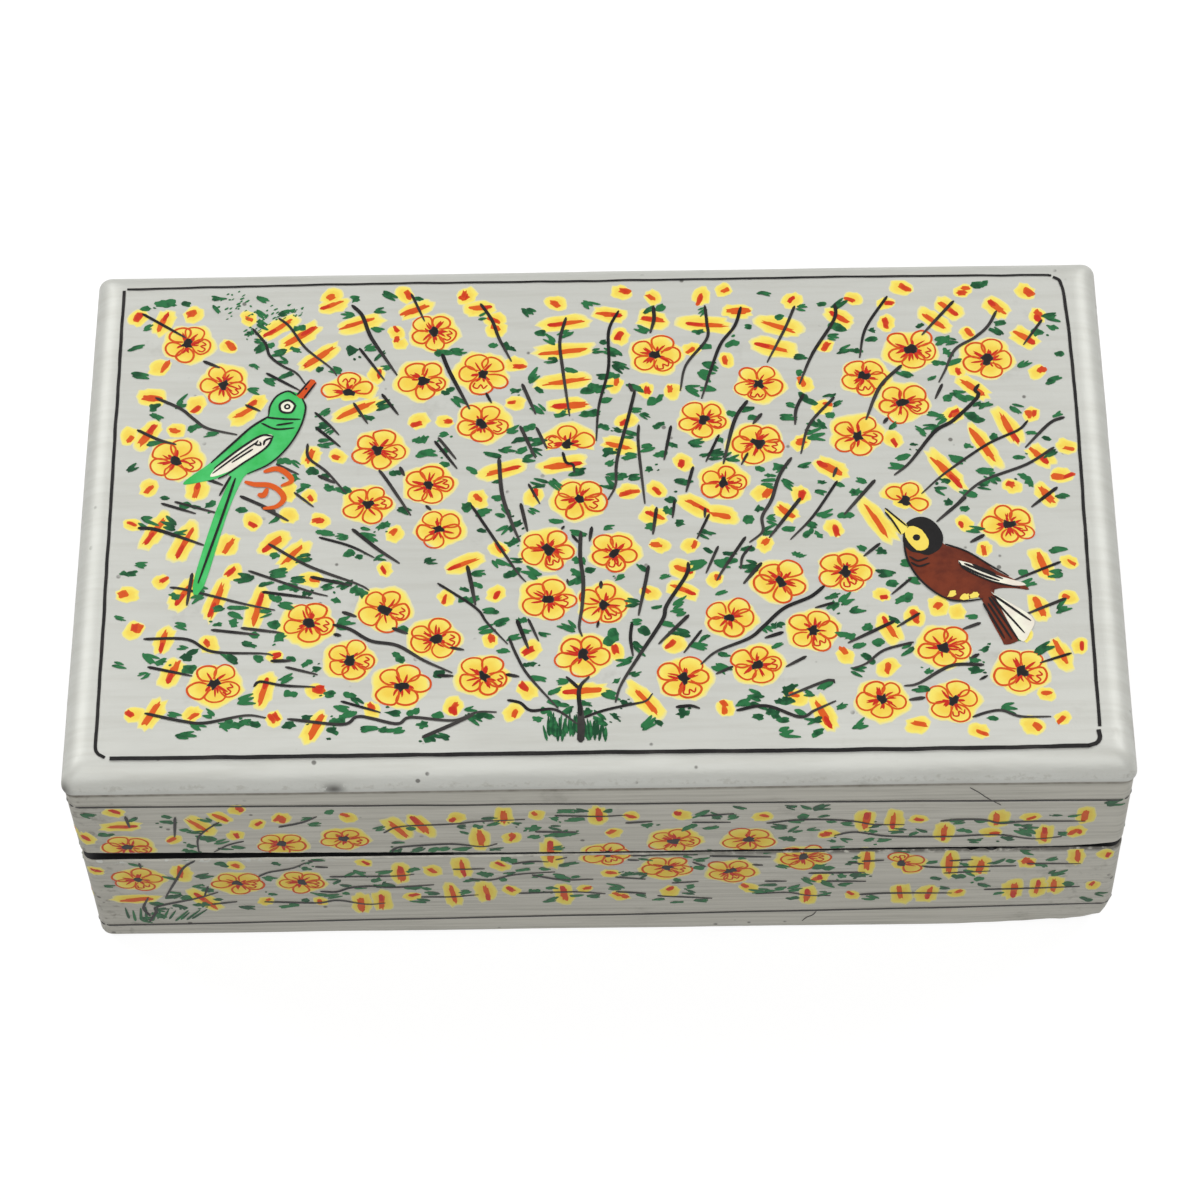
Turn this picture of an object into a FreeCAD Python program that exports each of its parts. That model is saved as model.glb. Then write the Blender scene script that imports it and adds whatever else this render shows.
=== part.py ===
"""Papier mache box with a lift-off lid.

Flat boards of pressed paper are glued up into one closed box, which is then sawn apart
into a tray and a lid.  Four mitred strips inside the tray stand proud of its rim, and the
lid drops over them.  The saw cut isn't true: the seam closes on the right and gapes on the
left.

Origin at the middle of the underside, +X to the right, +Y to the back, +Z up, millimetres.
"""
import FreeCAD
import Part
import Sketcher
import os
import types

SIZES = {
    # The closed box, over the boards
    "box_length": 178.0,
    "box_depth": 105.0,
    "box_height": 57.0,
    # The boards
    "wall_thickness": 4.0,
    "top_thickness": 5.0,
    "bottom_thickness": 4.0,
    # Rounding of the outer edges: standing corners, top edge, bottom edge, sawn and glued edges,
    # and the most of a board's thickness that rounding may take
    "corner_round": 2.0,
    "top_edge_round": 4.6,
    "bottom_edge_round": 2.4,
    "eased_edge": 0.3,
    "round_limit_share": 0.98,
    # The seam: rim of the tray above the underside, saw cut where the rims close,
    # extra gape at the left end, and the share of the length over which it closes
    "rim_height": 29.2,
    "seam_gap": 0.3,
    "seam_gape": 1.9,
    "gape_run_share": 0.48,
    # The collar inside the tray, and its lip above the rim
    "collar_thickness": 2.2,
    "lip_height": 6.0,
    "lip_clearance": 0.35,
    "lip_lead": 0.9,
}

# Two places closer than this count as one
SAME_PLACE = 1e-4

# The point numbers of a sketch line's ends, and the number of the sketch's own origin
LINE_START = 1
LINE_END = 2
SKETCH_ORIGIN = -1


class Size:
    """A length with both its value and the formula that ties it to the sheet."""

    def __init__(self, formula, value):
        self.formula = formula
        self.value = value

    def __add__(self, other):
        return Size(f"({self.formula} + {other.formula})", self.value + other.value)

    def __sub__(self, other):
        return Size(f"({self.formula} - {other.formula})", self.value - other.value)

    def __mul__(self, other):
        return Size(f"({self.formula} * {other.formula})", self.value * other.value)

    def __truediv__(self, other):
        if isinstance(other, Size):
            return Size(f"({self.formula} / {other.formula})", self.value / other.value)
        return Size(f"({self.formula} / {other})", self.value / other)

    def __neg__(self):
        return Size(f"-{self.formula}", -self.value)


def smaller(first, second):
    """The smaller of two sizes, whichever it is when the sheet changes."""
    return Size(f"min({first.formula}; {second.formula})", min(first.value, second.value))


doc = FreeCAD.newDocument("papier_mache_box")
sheet = doc.addObject("Spreadsheet::Sheet", "Sizes")
for row, (name, value) in enumerate(SIZES.items(), start=1):
    sheet.set(f"A{row}", name)
    sheet.set(f"B{row}", str(value))
    sheet.setAlias(f"B{row}", name)
doc.recompute()

size = types.SimpleNamespace(**{name: Size(f"Sizes.{name}", value) for name, value in SIZES.items()})

# Places that several pieces share
ground = Size("0", 0.0)
half_length = size.box_length / 2
half_depth = size.box_depth / 2
inner_half_length = half_length - size.wall_thickness
inner_half_depth = half_depth - size.wall_thickness
inner_length = inner_half_length + inner_half_length
inner_depth = inner_half_depth + inner_half_depth
top_underside = size.box_height - size.top_thickness

# The lid's sawn edge: level on the right, rising from the end of the gape to the left end
lid_rim = size.rim_height + size.seam_gap
lid_rim_left = lid_rim + size.seam_gape
gape_run = size.box_length * size.gape_run_share
gape_end = gape_run - half_length
lid_rim_inside_left = lid_rim + size.seam_gape * (gape_run - size.wall_thickness) / gape_run

# Rounding that its board still leaves room for
corner_round = smaller(size.corner_round, size.wall_thickness * size.round_limit_share)
top_round = smaller(
    size.top_edge_round, (size.top_thickness - size.eased_edge) * size.round_limit_share)
bottom_round = smaller(
    size.bottom_edge_round, (size.bottom_thickness - size.eased_edge) * size.round_limit_share)
lip_round = smaller(
    size.lip_lead,
    (size.collar_thickness - size.lip_clearance - size.eased_edge) * size.round_limit_share)


def edges_within(shape, **spans):
    """Numbers of the edges that lie wholly within the given spans, such as z=(low, high)."""
    chosen = []
    for number, edge in enumerate(shape.Edges, start=1):
        inside = True
        for axis, (low, high) in spans.items():
            start = getattr(edge.BoundBox, axis.upper() + "Min")
            end = getattr(edge.BoundBox, axis.upper() + "Max")
            inside &= start > low.value - SAME_PLACE and end < high.value + SAME_PLACE
        if inside:
            chosen.append(number)
    return chosen


def at(place):
    """The span that holds one place alone."""
    return (place, place)


def board(label, underside, thickness, upper_round, lower_round):
    """A full-size board: standing corners, upper edge and lower edge each rounded."""
    blank = doc.addObject("Part::Box", label + "_blank")
    blank.setExpression("Length", size.box_length.formula)
    blank.setExpression("Width", size.box_depth.formula)
    blank.setExpression("Height", thickness.formula)
    blank.setExpression("Placement.Base.x", (-half_length).formula)
    blank.setExpression("Placement.Base.y", (-half_depth).formula)
    blank.setExpression("Placement.Base.z", underside.formula)
    doc.recompute()
    edge_rounds = []
    for x in (-half_length, half_length):
        for y in (-half_depth, half_depth):
            edge_rounds += [(edge, corner_round) for edge in edges_within(blank.Shape, x=at(x), y=at(y))]
    for z, edge_round in ((underside, lower_round), (underside + thickness, upper_round)):
        edge_rounds += [(edge, edge_round) for edge in edges_within(blank.Shape, z=at(z))]
    rounded = doc.addObject("Part::Fillet", label)
    rounded.Base = blank
    rounded.Edges = [(edge, radius.value, radius.value) for edge, radius in edge_rounds]
    doc.recompute()
    return rounded


def profile(body, plane, corners, lift=None):
    """A closed sketch on one of the body's own planes, with every corner tied to the sheet."""
    sketch = body.newObject("Sketcher::SketchObject", body.Name + "_profile")
    support = [feature for feature in body.Origin.OriginFeatures if feature.Role == plane]
    sketch.AttachmentSupport = [(support[0], "")]
    sketch.MapMode = "FlatFace"
    if lift is not None:
        sketch.setExpression("AttachmentOffset.Base.z", lift.formula)
    points = [FreeCAD.Vector(across.value, up.value, 0) for across, up in corners]
    for line, start in enumerate(points):
        end = points[(line + 1) % len(points)]
        sketch.addGeometry(Part.LineSegment(start, end), False)
    for line in range(len(points)):
        following = (line + 1) % len(points)
        sketch.addConstraint(Sketcher.Constraint("Coincident", line, LINE_END, following, LINE_START))
    for line, (across, up) in enumerate(corners):
        for kind, place in (("DistanceX", across), ("DistanceY", up)):
            constraint = Sketcher.Constraint(
                kind, SKETCH_ORIGIN, LINE_START, line, LINE_START, place.value)
            sketch.setExpression(f"Constraints[{sketch.addConstraint(constraint)}]", place.formula)
    return sketch


def pad(body, sketch, length):
    """The sketch drawn out by the given length, along its own normal."""
    feature = body.newObject("PartDesign::Pad", body.Name + "_pad")
    feature.Profile = sketch
    feature.setExpression("Length", length.formula)
    doc.recompute()


def round_edges(body, radius, edges):
    """The given edges of the body's last feature, rounded."""
    last = body.Tip
    feature = body.newObject("PartDesign::Fillet", body.Name + "_round")
    feature.Base = (last, [f"Edge{edge}" for edge in edges])
    feature.setExpression("Radius", radius.formula)
    doc.recompute()


def long_wall(label, corners, rim, outer_face, back_face):
    """A front or back wall: full length, with its outer standing corners and sawn rim rounded.

    The profile is seen from the front, and is drawn out towards the front from back_face.
    """
    body = doc.addObject("PartDesign::Body", label)
    pad(body, profile(body, "XZ_Plane", corners), size.wall_thickness)
    body.setExpression("Placement.Base.y", back_face.formula)
    standing = []
    for x in (-half_length, half_length):
        standing += edges_within(body.Tip.Shape, x=at(x), y=at(outer_face))
    round_edges(body, corner_round, standing)
    round_edges(body, size.eased_edge, edges_within(body.Tip.Shape, y=at(outer_face), z=rim))
    return body


def side_wall(label, corners, rim, outer_face):
    """A left or right wall: it runs between the front and the back wall."""
    body = doc.addObject("PartDesign::Body", label)
    pad(body, profile(body, "XZ_Plane", corners), inner_depth)
    body.setExpression("Placement.Base.y", inner_half_depth.formula)
    round_edges(body, size.eased_edge, edges_within(body.Tip.Shape, x=at(outer_face), z=rim))
    return body


def collar_strip(label, run, standoff, turn):
    """A mitred strip: glued to the wall below the rim, set in by the clearance above it.

    It is drawn as the front strip, standoff from the box's middle, then turned about +Z.
    """
    body = doc.addObject("PartDesign::Body", label)
    body.Placement = FreeCAD.Placement(
        FreeCAD.Vector(), FreeCAD.Rotation(FreeCAD.Vector(0, 0, 1), turn))
    body.setExpression("Placement.Base.z", size.bottom_thickness.formula)
    half_run = run / 2
    inner_face = size.collar_thickness - standoff
    lip_face = size.lip_clearance - standoff
    inner_corner = half_run - size.collar_thickness
    lip_corner = half_run - size.lip_clearance
    glued_height = size.rim_height - size.bottom_thickness
    glued = [
        (-half_run, -standoff), (half_run, -standoff),
        (inner_corner, inner_face), (-inner_corner, inner_face),
    ]
    lip = [
        (-lip_corner, lip_face), (lip_corner, lip_face),
        (inner_corner, inner_face), (-inner_corner, inner_face),
    ]
    pad(body, profile(body, "XY_Plane", glued), glued_height)
    pad(body, profile(body, "XY_Plane", lip, lift=glued_height), size.lip_height)
    lip_top = glued_height + size.lip_height
    round_edges(body, lip_round, edges_within(body.Tip.Shape, y=at(lip_face), z=at(lip_top)))
    round_edges(body, size.eased_edge, edges_within(body.Tip.Shape, y=at(inner_face), z=at(lip_top)))
    return body


# Wall profiles, seen from the front
lid_long_profile = [
    (-half_length, lid_rim_left), (gape_end, lid_rim), (half_length, lid_rim),
    (half_length, top_underside), (-half_length, top_underside),
]
lid_left_profile = [
    (-half_length, lid_rim_left), (-inner_half_length, lid_rim_inside_left),
    (-inner_half_length, top_underside), (-half_length, top_underside),
]
lid_right_profile = [
    (inner_half_length, lid_rim), (half_length, lid_rim),
    (half_length, top_underside), (inner_half_length, top_underside),
]
tray_long_profile = [
    (-half_length, size.bottom_thickness), (half_length, size.bottom_thickness),
    (half_length, size.rim_height), (-half_length, size.rim_height),
]
tray_left_profile = [
    (-half_length, size.bottom_thickness), (-inner_half_length, size.bottom_thickness),
    (-inner_half_length, size.rim_height), (-half_length, size.rim_height),
]
tray_right_profile = [
    (inner_half_length, size.bottom_thickness), (half_length, size.bottom_thickness),
    (half_length, size.rim_height), (inner_half_length, size.rim_height),
]

# The heights between which each sawn rim lies
lid_rim_span = (lid_rim, lid_rim_left)
tray_rim_span = at(size.rim_height)

# A long wall's outer face in its own body, which is drawn out towards the front
front_outer = -size.wall_thickness
back_outer = ground

pieces = [
    board("lid_top_panel", top_underside, size.top_thickness, top_round, size.eased_edge),
    long_wall("lid_front_wall", lid_long_profile, lid_rim_span, front_outer, -inner_half_depth),
    long_wall("lid_back_wall", lid_long_profile, lid_rim_span, back_outer, half_depth),
    side_wall("lid_left_wall", lid_left_profile, lid_rim_span, -half_length),
    side_wall("lid_right_wall", lid_right_profile, lid_rim_span, half_length),
    board("tray_bottom_panel", ground, size.bottom_thickness, size.eased_edge, bottom_round),
    long_wall("tray_front_wall", tray_long_profile, tray_rim_span, front_outer, -inner_half_depth),
    long_wall("tray_back_wall", tray_long_profile, tray_rim_span, back_outer, half_depth),
    side_wall("tray_left_wall", tray_left_profile, tray_rim_span, -half_length),
    side_wall("tray_right_wall", tray_right_profile, tray_rim_span, half_length),
    collar_strip("collar_front", inner_length, inner_half_depth, 0),
    collar_strip("collar_right", inner_depth, inner_half_length, 90),
    collar_strip("collar_back", inner_length, inner_half_depth, 180),
    collar_strip("collar_left", inner_depth, inner_half_length, 270),
]
doc.recompute()

for item in doc.Objects:
    if "Invalid" in item.State or "Error" in item.State:
        raise RuntimeError(f"{item.Label} didn't build: {item.State}")
for piece in pieces:
    if piece.Shape.isNull() or not piece.Shape.isValid() or len(piece.Shape.Solids) != 1:
        raise RuntimeError(f"{piece.Label} isn't one valid solid")

os.makedirs("parts", exist_ok=True)
for piece in pieces:
    piece.Shape.exportStep(f"parts/{piece.Label}.step")
    print(f"{piece.Label}: {piece.Shape.Volume:.0f} mm3")
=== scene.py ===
"""Dresses the papier mache box: silver-grey ground over the boards, a painted spray of flowers
and birds on the lid, painted bands round the sides, and black lacquer inside.

Lengths are in millimetres in the box's own frame until a mesh is made from them.
"""
import bmesh
import bpy
import math
import random
from mathutils import Matrix, Vector, noise


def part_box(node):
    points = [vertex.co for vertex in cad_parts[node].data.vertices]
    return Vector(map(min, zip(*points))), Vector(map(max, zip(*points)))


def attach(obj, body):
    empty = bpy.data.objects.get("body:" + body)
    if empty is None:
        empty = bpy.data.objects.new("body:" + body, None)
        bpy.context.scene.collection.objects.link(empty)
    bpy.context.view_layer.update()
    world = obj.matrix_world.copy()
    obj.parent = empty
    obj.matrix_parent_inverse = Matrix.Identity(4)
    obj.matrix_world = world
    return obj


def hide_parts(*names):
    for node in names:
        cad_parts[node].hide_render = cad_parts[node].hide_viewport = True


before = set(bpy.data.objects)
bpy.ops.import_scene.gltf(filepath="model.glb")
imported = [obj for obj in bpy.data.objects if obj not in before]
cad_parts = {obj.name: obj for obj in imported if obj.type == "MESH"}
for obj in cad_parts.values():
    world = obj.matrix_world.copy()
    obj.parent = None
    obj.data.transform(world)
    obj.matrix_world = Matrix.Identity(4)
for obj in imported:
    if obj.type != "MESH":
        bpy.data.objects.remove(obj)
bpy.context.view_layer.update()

bl_info = {
    "name": "Papier Mache Box",
    "version": (1, 0, 0),
    "blender": (4, 5, 0),
    "location": "View3D > Sidebar > Paper Box",
    "description": "Ground, painting and black inside of a papier mache box",
    "category": "Object",
}

MM = 0.001


def box_mm(node):
    """A board's lowest and highest corner."""
    low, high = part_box(node)
    return low / MM, high / MM


# Places read off the boards
TOP_LOW, TOP_HIGH = box_mm("lid_top_panel")
LID_WALL_LOW, LID_WALL_HIGH = box_mm("lid_front_wall")
TRAY_WALL_LOW, TRAY_WALL_HIGH = box_mm("tray_front_wall")
HALF_LENGTH = TOP_HIGH.x
HALF_DEPTH = TOP_HIGH.y
TOP = TOP_HIGH.z
JOINT = TOP_LOW.z
WALL = LID_WALL_HIGH.y - LID_WALL_LOW.y
LID_RIM = LID_WALL_LOW.z
LID_RIM_LEFT = box_mm("lid_left_wall")[0].z
RIM = TRAY_WALL_HIGH.z
FLOOR = TRAY_WALL_LOW.z

# How the boards are rounded, and how far the walls stand in from the top board's edge
CORNER_ROUND = 2.0
TOP_ROUND = 4.6
BOTTOM_ROUND = 2.4
RIM_ROUND = 0.24
WALL_SET_IN = 0.3
# Where the lid's sawn edge starts to rise towards the left
GAPE_END = -3.5


class Shade:
    """A socket of a material. Sums and products of shades add Math nodes."""

    def __init__(self, tree, socket=None):
        self.tree = tree
        self.socket = socket

    def node(self, kind, settings=None, inputs=None, output=0):
        """Adds a node: its settings first, then the values or links of its sockets."""
        made = self.tree.nodes.new(kind)
        for name, value in (settings or {}).items():
            setattr(made, name, value)
        for key, value in (inputs or {}).items():
            if isinstance(value, Shade):
                self.tree.links.new(value.socket, made.inputs[key])
            else:
                made.inputs[key].default_value = value
        return Shade(self.tree, made.outputs[output])

    def maths(self, operation, first, second=0.0):
        return self.node("ShaderNodeMath", {"operation": operation}, {0: first, 1: second})

    def __add__(self, other):
        return self.maths("ADD", self, other)

    __radd__ = __add__

    def __sub__(self, other):
        return self.maths("SUBTRACT", self, other)

    def __rsub__(self, other):
        return self.maths("SUBTRACT", other, self)

    def __mul__(self, other):
        return self.maths("MULTIPLY", self, other)

    def above(self, low, high):
        """0 below low, 1 above high, smooth between."""
        return self.node(
            "ShaderNodeMapRange", {"interpolation_type": "SMOOTHSTEP"},
            {"Value": self, "From Min": low, "From Max": high})

    def mix(self, first, second):
        """Colour first where this is 0, second where it is 1."""
        return self.node("ShaderNodeMix", {"data_type": "RGBA"}, {0: self, 6: first, 7: second}, output=2)


def colour(red, green, blue):
    """A screen colour, 0 to 255, as the renderer's linear colour."""
    def linear(value):
        share = value / 255
        return share / 12.92 if share <= 0.04045 else ((share + 0.055) / 1.055) ** 2.4
    return (linear(red), linear(green), linear(blue), 1.0)


def new_material(name):
    """An empty material with its Principled shader, as a tree to build on."""
    material = bpy.data.materials.new(name)
    material.use_nodes = True
    tree = material.node_tree
    shader = tree.nodes["Principled BSDF"]
    return material, Shade(tree), shader


def feed(root, shader, **sockets):
    """Links shades to the shader's sockets, or sets plain values on them."""
    for name, value in sockets.items():
        socket = shader.inputs[name.replace("_", " ")]
        if isinstance(value, Shade):
            root.tree.links.new(value.socket, socket)
        else:
            socket.default_value = value


def stretched(place, fineness):
    """The place scaled per axis: larger numbers give finer pattern."""
    return place.node("ShaderNodeVectorMath", {"operation": "MULTIPLY"}, {0: place, 1: fineness})


def noise_of(place, scale=1.0, detail=3.0, rough=0.55):
    """Soft noise from 0 to 1; a larger scale is finer."""
    return place.node(
        "ShaderNodeTexNoise", {"noise_dimensions": "3D"},
        {"Vector": place, "Scale": scale, "Detail": detail, "Roughness": rough})


def near(value, middle, reach):
    """1 where the value is at the middle, fading to 0 at the reach from it; both in millimetres."""
    return 1 - value.maths("ABSOLUTE", value - middle * MM).above(0.0, reach * MM)


def past(value, start, end):
    """0 before the start, 1 after the end, smooth between; both in millimetres."""
    return value.above(start * MM, end * MM)


# How fine the ground's patterns are; its brush streaks have a fineness for each axis
CLOUD_SCALE = 38.0
FLECK_SCALE = 520.0
SPECK_SCALE = 330.0
SPECK_FIELD_SCALE = 120.0
GRIME_SCALE = 75.0
GRAIN_SCALE = 2600.0
DENT_SCALE = 420.0
PIT_SCALE = 700.0
TOP_STREAKS = (60.0, 700.0, 60.0)
WALL_STREAKS = (45.0, 45.0, 1700.0)
# Stretches of the ground, as start and end
ABOVE_WALLS = (JOINT - 0.7, JOINT + 0.5)
LEFT_END = (-HALF_LENGTH, 16 - HALF_LENGTH)
RIGHT_END = (HALF_LENGTH - 26, HALF_LENGTH)
# Behind the front strip the ground is darkened as painted shade
BEHIND_FRONT = (-HALF_DEPTH, -0.3 * HALF_DEPTH)
SEAM_BAND_RUN = (-20, 40)
CHIPS_END = (-75, -25)
PITS_START = (JOINT + 0.1, JOINT + 1.2)
PITS_END = (JOINT + 1.8, TOP - 0.6)
# Spots of the ground, as middle and reach along one axis
# The first spot below is a band of painted shadow under the top board's edge
CREASE_SHADOW_HEIGHT = (JOINT - 0.75, 0.75)
RIGHT_END_HEIGHT = (16.0, 22.0)
SEAM_HEIGHT = (RIM, 1.5)
SEAM_BAND_HEIGHT = (RIM - 0.4, 1.4)
CHIPS_HEIGHT = (RIM - 0.9, 1.0)
SMUDGE_ACROSS = (-43.7, 2.8)
SMUDGE_HEIGHT = (JOINT + 1.0, 2.0)
CORNER_ACROSS = (-88.2, 1.8)
CORNER_DEEP = (-51.6, 1.8)
CORNER_HEIGHT = (JOINT + 0.9, 2.6)


def ground_material(look):
    """Silver-grey ground: brushed on, pitted over the rounded edge, dirty in places, with painted shade on
    the walls, under the top board's edge, at the walls' left end and behind the front strip.
    """
    material, root, shader = new_material("silver_ground")
    place = root.node("ShaderNodeTexCoord", output="Object")
    across, deep, up = (root.node("ShaderNodeSeparateXYZ", None, {"Vector": place}, axis) for axis in "XYZ")
    wall = 1 - past(up, *ABOVE_WALLS)
    cloud = noise_of(place, CLOUD_SCALE, 4.0)
    streak = wall.mix(
        noise_of(stretched(place, TOP_STREAKS), detail=4.0),
        noise_of(stretched(place, WALL_STREAKS), detail=5.0, rough=0.65))
    streak = root.node("ShaderNodeRGBToBW", None, {"Color": streak})
    fleck = noise_of(place, FLECK_SCALE, 3.0, 0.6)
    speck = root.node(
        "ShaderNodeTexVoronoi", {"feature": "F1"},
        {"Vector": place, "Scale": SPECK_SCALE, "Randomness": 1.0})
    specks = (1 - speck.above(0.09, 0.17)) * noise_of(place, SPECK_FIELD_SCALE, 1.0).above(0.60, 0.68)
    grime = noise_of(place, GRIME_SCALE, 5.0, 0.65).above(0.60, 0.80)
    # Painted shadow in the crease under the top board's edge
    crease_shadow = near(up, *CREASE_SHADOW_HEIGHT) * (0.35 + fleck)
    # The walls' left end: dirt in flecks there is real, and its plain darkening is painted shade
    left_end = (1 - past(across, *LEFT_END)) * wall
    right_end = past(across, *RIGHT_END) * near(up, *RIGHT_END_HEIGHT)
    ends = root.maths("MAXIMUM", left_end, right_end * 0.8)
    dirt = fleck.above(0.50, 0.72) * ends + near(up, *SEAM_HEIGHT) * fleck.above(0.45, 0.7)
    # The front strip; the ground behind it gets painted shade
    front = 1 - past(deep, *BEHIND_FRONT)
    smudge = near(across, *SMUDGE_ACROSS) * near(up, *SMUDGE_HEIGHT) * fleck.above(0.44, 0.48) * front
    corner = near(across, *CORNER_ACROSS) * near(deep, *CORNER_DEEP) * near(up, *CORNER_HEIGHT)
    # A darker flecked band along the seam, fading in from the middle towards the right
    seam_band = near(up, *SEAM_BAND_HEIGHT) * fleck.above(0.32, 0.50) * past(across, *SEAM_BAND_RUN)
    chips = fleck.above(0.54, 0.58) * near(up, *CHIPS_HEIGHT) * (1 - past(across, *CHIPS_END))
    base = cloud.above(0.3, 0.7).mix(look.ground_dark, look.ground_light)
    # Painted shade: the ground behind the front strip, over the lid's middle and back, darker
    base = ((1 - front) * 0.8).mix(base, look.ground_shaded_back)
    # Painted shade: the walls darker and warmer than the top
    base = (wall * 0.85).mix(base, look.ground_shaded_wall)
    base = (streak.above(0.35, 0.75) * (0.25 + wall * 0.6)).mix(base, look.ground_streak)
    # Grime and dirt are real marks; the plain darkening of the left end and the band under the top board's
    # edge are painted shade, mixed in the grime colour
    dirt_and_shade = grime * 0.3 + dirt * 0.6 + left_end * 0.2 + crease_shadow * 0.9
    base = dirt_and_shade.mix(base, look.ground_grime_and_shade)
    base = chips.mix(base, look.ground_light)
    base = (specks * 0.75 + seam_band * 0.85 + (smudge + corner) * 0.9).mix(base, look.ground_speck)
    grain = noise_of(place, GRAIN_SCALE, 2.0)
    dents = noise_of(place, DENT_SCALE, 3.0)
    pits = noise_of(place, PIT_SCALE, 4.0, 0.7) * (past(up, *PITS_START) * (1 - past(up, *PITS_END)))
    base = (pits.above(0.48, 0.66) * 0.45).mix(base, look.ground_streak)
    height = grain * 0.25 + dents * 0.5 + streak * 0.5 - specks * 0.6 + pits * 3.0 - dirt * 0.5
    bump = root.node("ShaderNodeBump", None, {"Strength": 0.22, "Distance": 0.00025, "Height": height})
    gloss = 0.40 + cloud * 0.10 + grime * 0.2 + streak * 0.08 + wall * 0.1
    feed(root, shader, Base_Color=base, Roughness=gloss, Normal=bump, Metallic=look.ground_metal)
    return material


# How fine the black lacquer's rubbed patches and brush streaks are, and the drag marks in the paint
RUBBED_SCALE = 60.0
INSIDE_STREAKS = (60.0, 600.0, 600.0)
DRAG_SCALE = 900.0


def black_material(look):
    """Black lacquer inside: thin, a little dusty, rubbed grey in places."""
    material, root, shader = new_material("black_inside")
    place = root.node("ShaderNodeTexCoord", output="Object")
    rubbed = noise_of(place, RUBBED_SCALE, 5.0, 0.65).above(0.55, 0.8)
    streak = noise_of(stretched(place, INSIDE_STREAKS))
    base = (rubbed * 0.5).mix(look.inside, look.inside_rubbed)
    bump = root.node("ShaderNodeBump", None, {"Strength": 0.3, "Distance": 0.0003, "Height": streak})
    feed(root, shader, Base_Color=base, Roughness=0.32 + streak * 0.2 + rubbed * 0.2, Normal=bump)
    return material


def paint_material(name, inner, edge, rim, speckle):
    """Brushed paint: inner colour where the brush was full, then edge and rim as it ran thin."""
    material, root, shader = new_material(name)
    place = root.node("ShaderNodeTexCoord", output="Object")
    tint = root.node("ShaderNodeAttribute", {"attribute_name": "tint"}, output="Fac")
    drag = noise_of(place, DRAG_SCALE)
    share = tint + (drag - 0.5) * speckle
    base = share.above(0.0, 0.6).mix(inner, edge)
    base = share.above(0.6, 1.05).mix(base, rim)
    bump = root.node("ShaderNodeBump", None, {"Strength": 0.15, "Distance": 0.0001, "Height": drag})
    feed(root, shader, Base_Color=base, Roughness=0.36 + drag * 0.2, Normal=bump, Specular_IOR_Level=0.3)
    return material


# The ground's own unevenness, shared by the boards and by the paint on them, as height and length of waves
RELIEF_WAVES = ((0.10, 31.0), (0.035, 9.0))
# The worn lower right end: from where to the right and from where down, over what run, and how deep
WORN_FROM = 62
WORN_RUN = 22
WORN_BELOW = 9
WORN_FALL = 6
WORN_DEPTH = 0.75
WORN_ROUGHNESS = 0.3
WORN_GRAIN = 3.1
# The knocked lower right front corner
KNOCK = Vector((HALF_LENGTH, -HALF_DEPTH, 0))
KNOCK_REACH = 6
KNOCK_DEPTH = 1.0
# Unevenness of the sawn edges, as height, length and seed of waves
LID_RIM_WAVES = ((0.10, 7, 3), (0.12, 2.3, 9))
TRAY_RIM_WAVES = ((0.09, 6, 5), (0.05, 1.9, 2))
# How far the edges keep from the true cut, so that they never touch
LID_RIM_EASE = 0.05
TRAY_RIM_EASE = 0.4
# The lid's edge is worn up towards the right end
RIM_WORN_FROM = 76
RIM_WORN_RUN = 13
RIM_WORN_DEPTH = 1.4
# The tray's edge is nicked round one place
NICKS_MIDDLE = 66
NICKS_REACH = 9
NICKS_DEPTH = 2.2
NICK_LENGTH = 1.6
NICK_SEED = 7


def within(share):
    """The share kept between 0 and 1."""
    return max(0.0, min(1.0, share))


def relief(place):
    """How far the hand-laid ground stands out from the true face; its lower right end is chipped back."""
    wave = sum(high * noise.noise(place / long + Vector((long, 0, 0))) for high, long in RELIEF_WAVES)
    worn = within((place.x - WORN_FROM) / WORN_RUN) * within((WORN_BELOW - place.z) / WORN_FALL)
    deep = WORN_DEPTH + WORN_ROUGHNESS * noise.noise(place / WORN_GRAIN)
    knocked = max(0.0, 1 - (place - KNOCK).length / KNOCK_REACH)
    return wave - worn * deep - KNOCK_DEPTH * knocked


def rim_wobble(x, waves):
    """Unevenness of a sawn edge."""
    return sum(high * noise.noise(Vector((x / long, seed, 0))) for high, long, seed in waves)


def lid_rim_at(x):
    """Height of the lid's sawn edge: level on the right, rising to the left, uneven and worn."""
    rise = max(0.0, (GAPE_END - x) / (GAPE_END + HALF_LENGTH - WALL)) * (LID_RIM_LEFT - LID_RIM)
    worn = max(0.0, (x - RIM_WORN_FROM) / RIM_WORN_RUN) ** 2 * RIM_WORN_DEPTH
    return LID_RIM + LID_RIM_EASE + rise + rim_wobble(x, LID_RIM_WAVES) + worn


def tray_rim_at(x):
    """Height of the tray's sawn edge, with broken nicks on the right."""
    nicks = max(0.0, 1 - abs(x - NICKS_MIDDLE) / NICKS_REACH)
    nicked = nicks * max(0.0, noise.noise(Vector((x / NICK_LENGTH, NICK_SEED, 0)))) * NICKS_DEPTH
    return RIM - TRAY_RIM_EASE + rim_wobble(x, TRAY_RIM_WAVES) - nicked


# Points along a long side, a short side and a corner of each level
LONG_STEPS = 228
SHORT_STEPS = 132
CORNER_STEPS = 8
# Points closer than this are one, and edges bent by more than this are sharp
SAME_PLACE = 1e-6
SHARP_ANGLE = math.radians(40)


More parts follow.
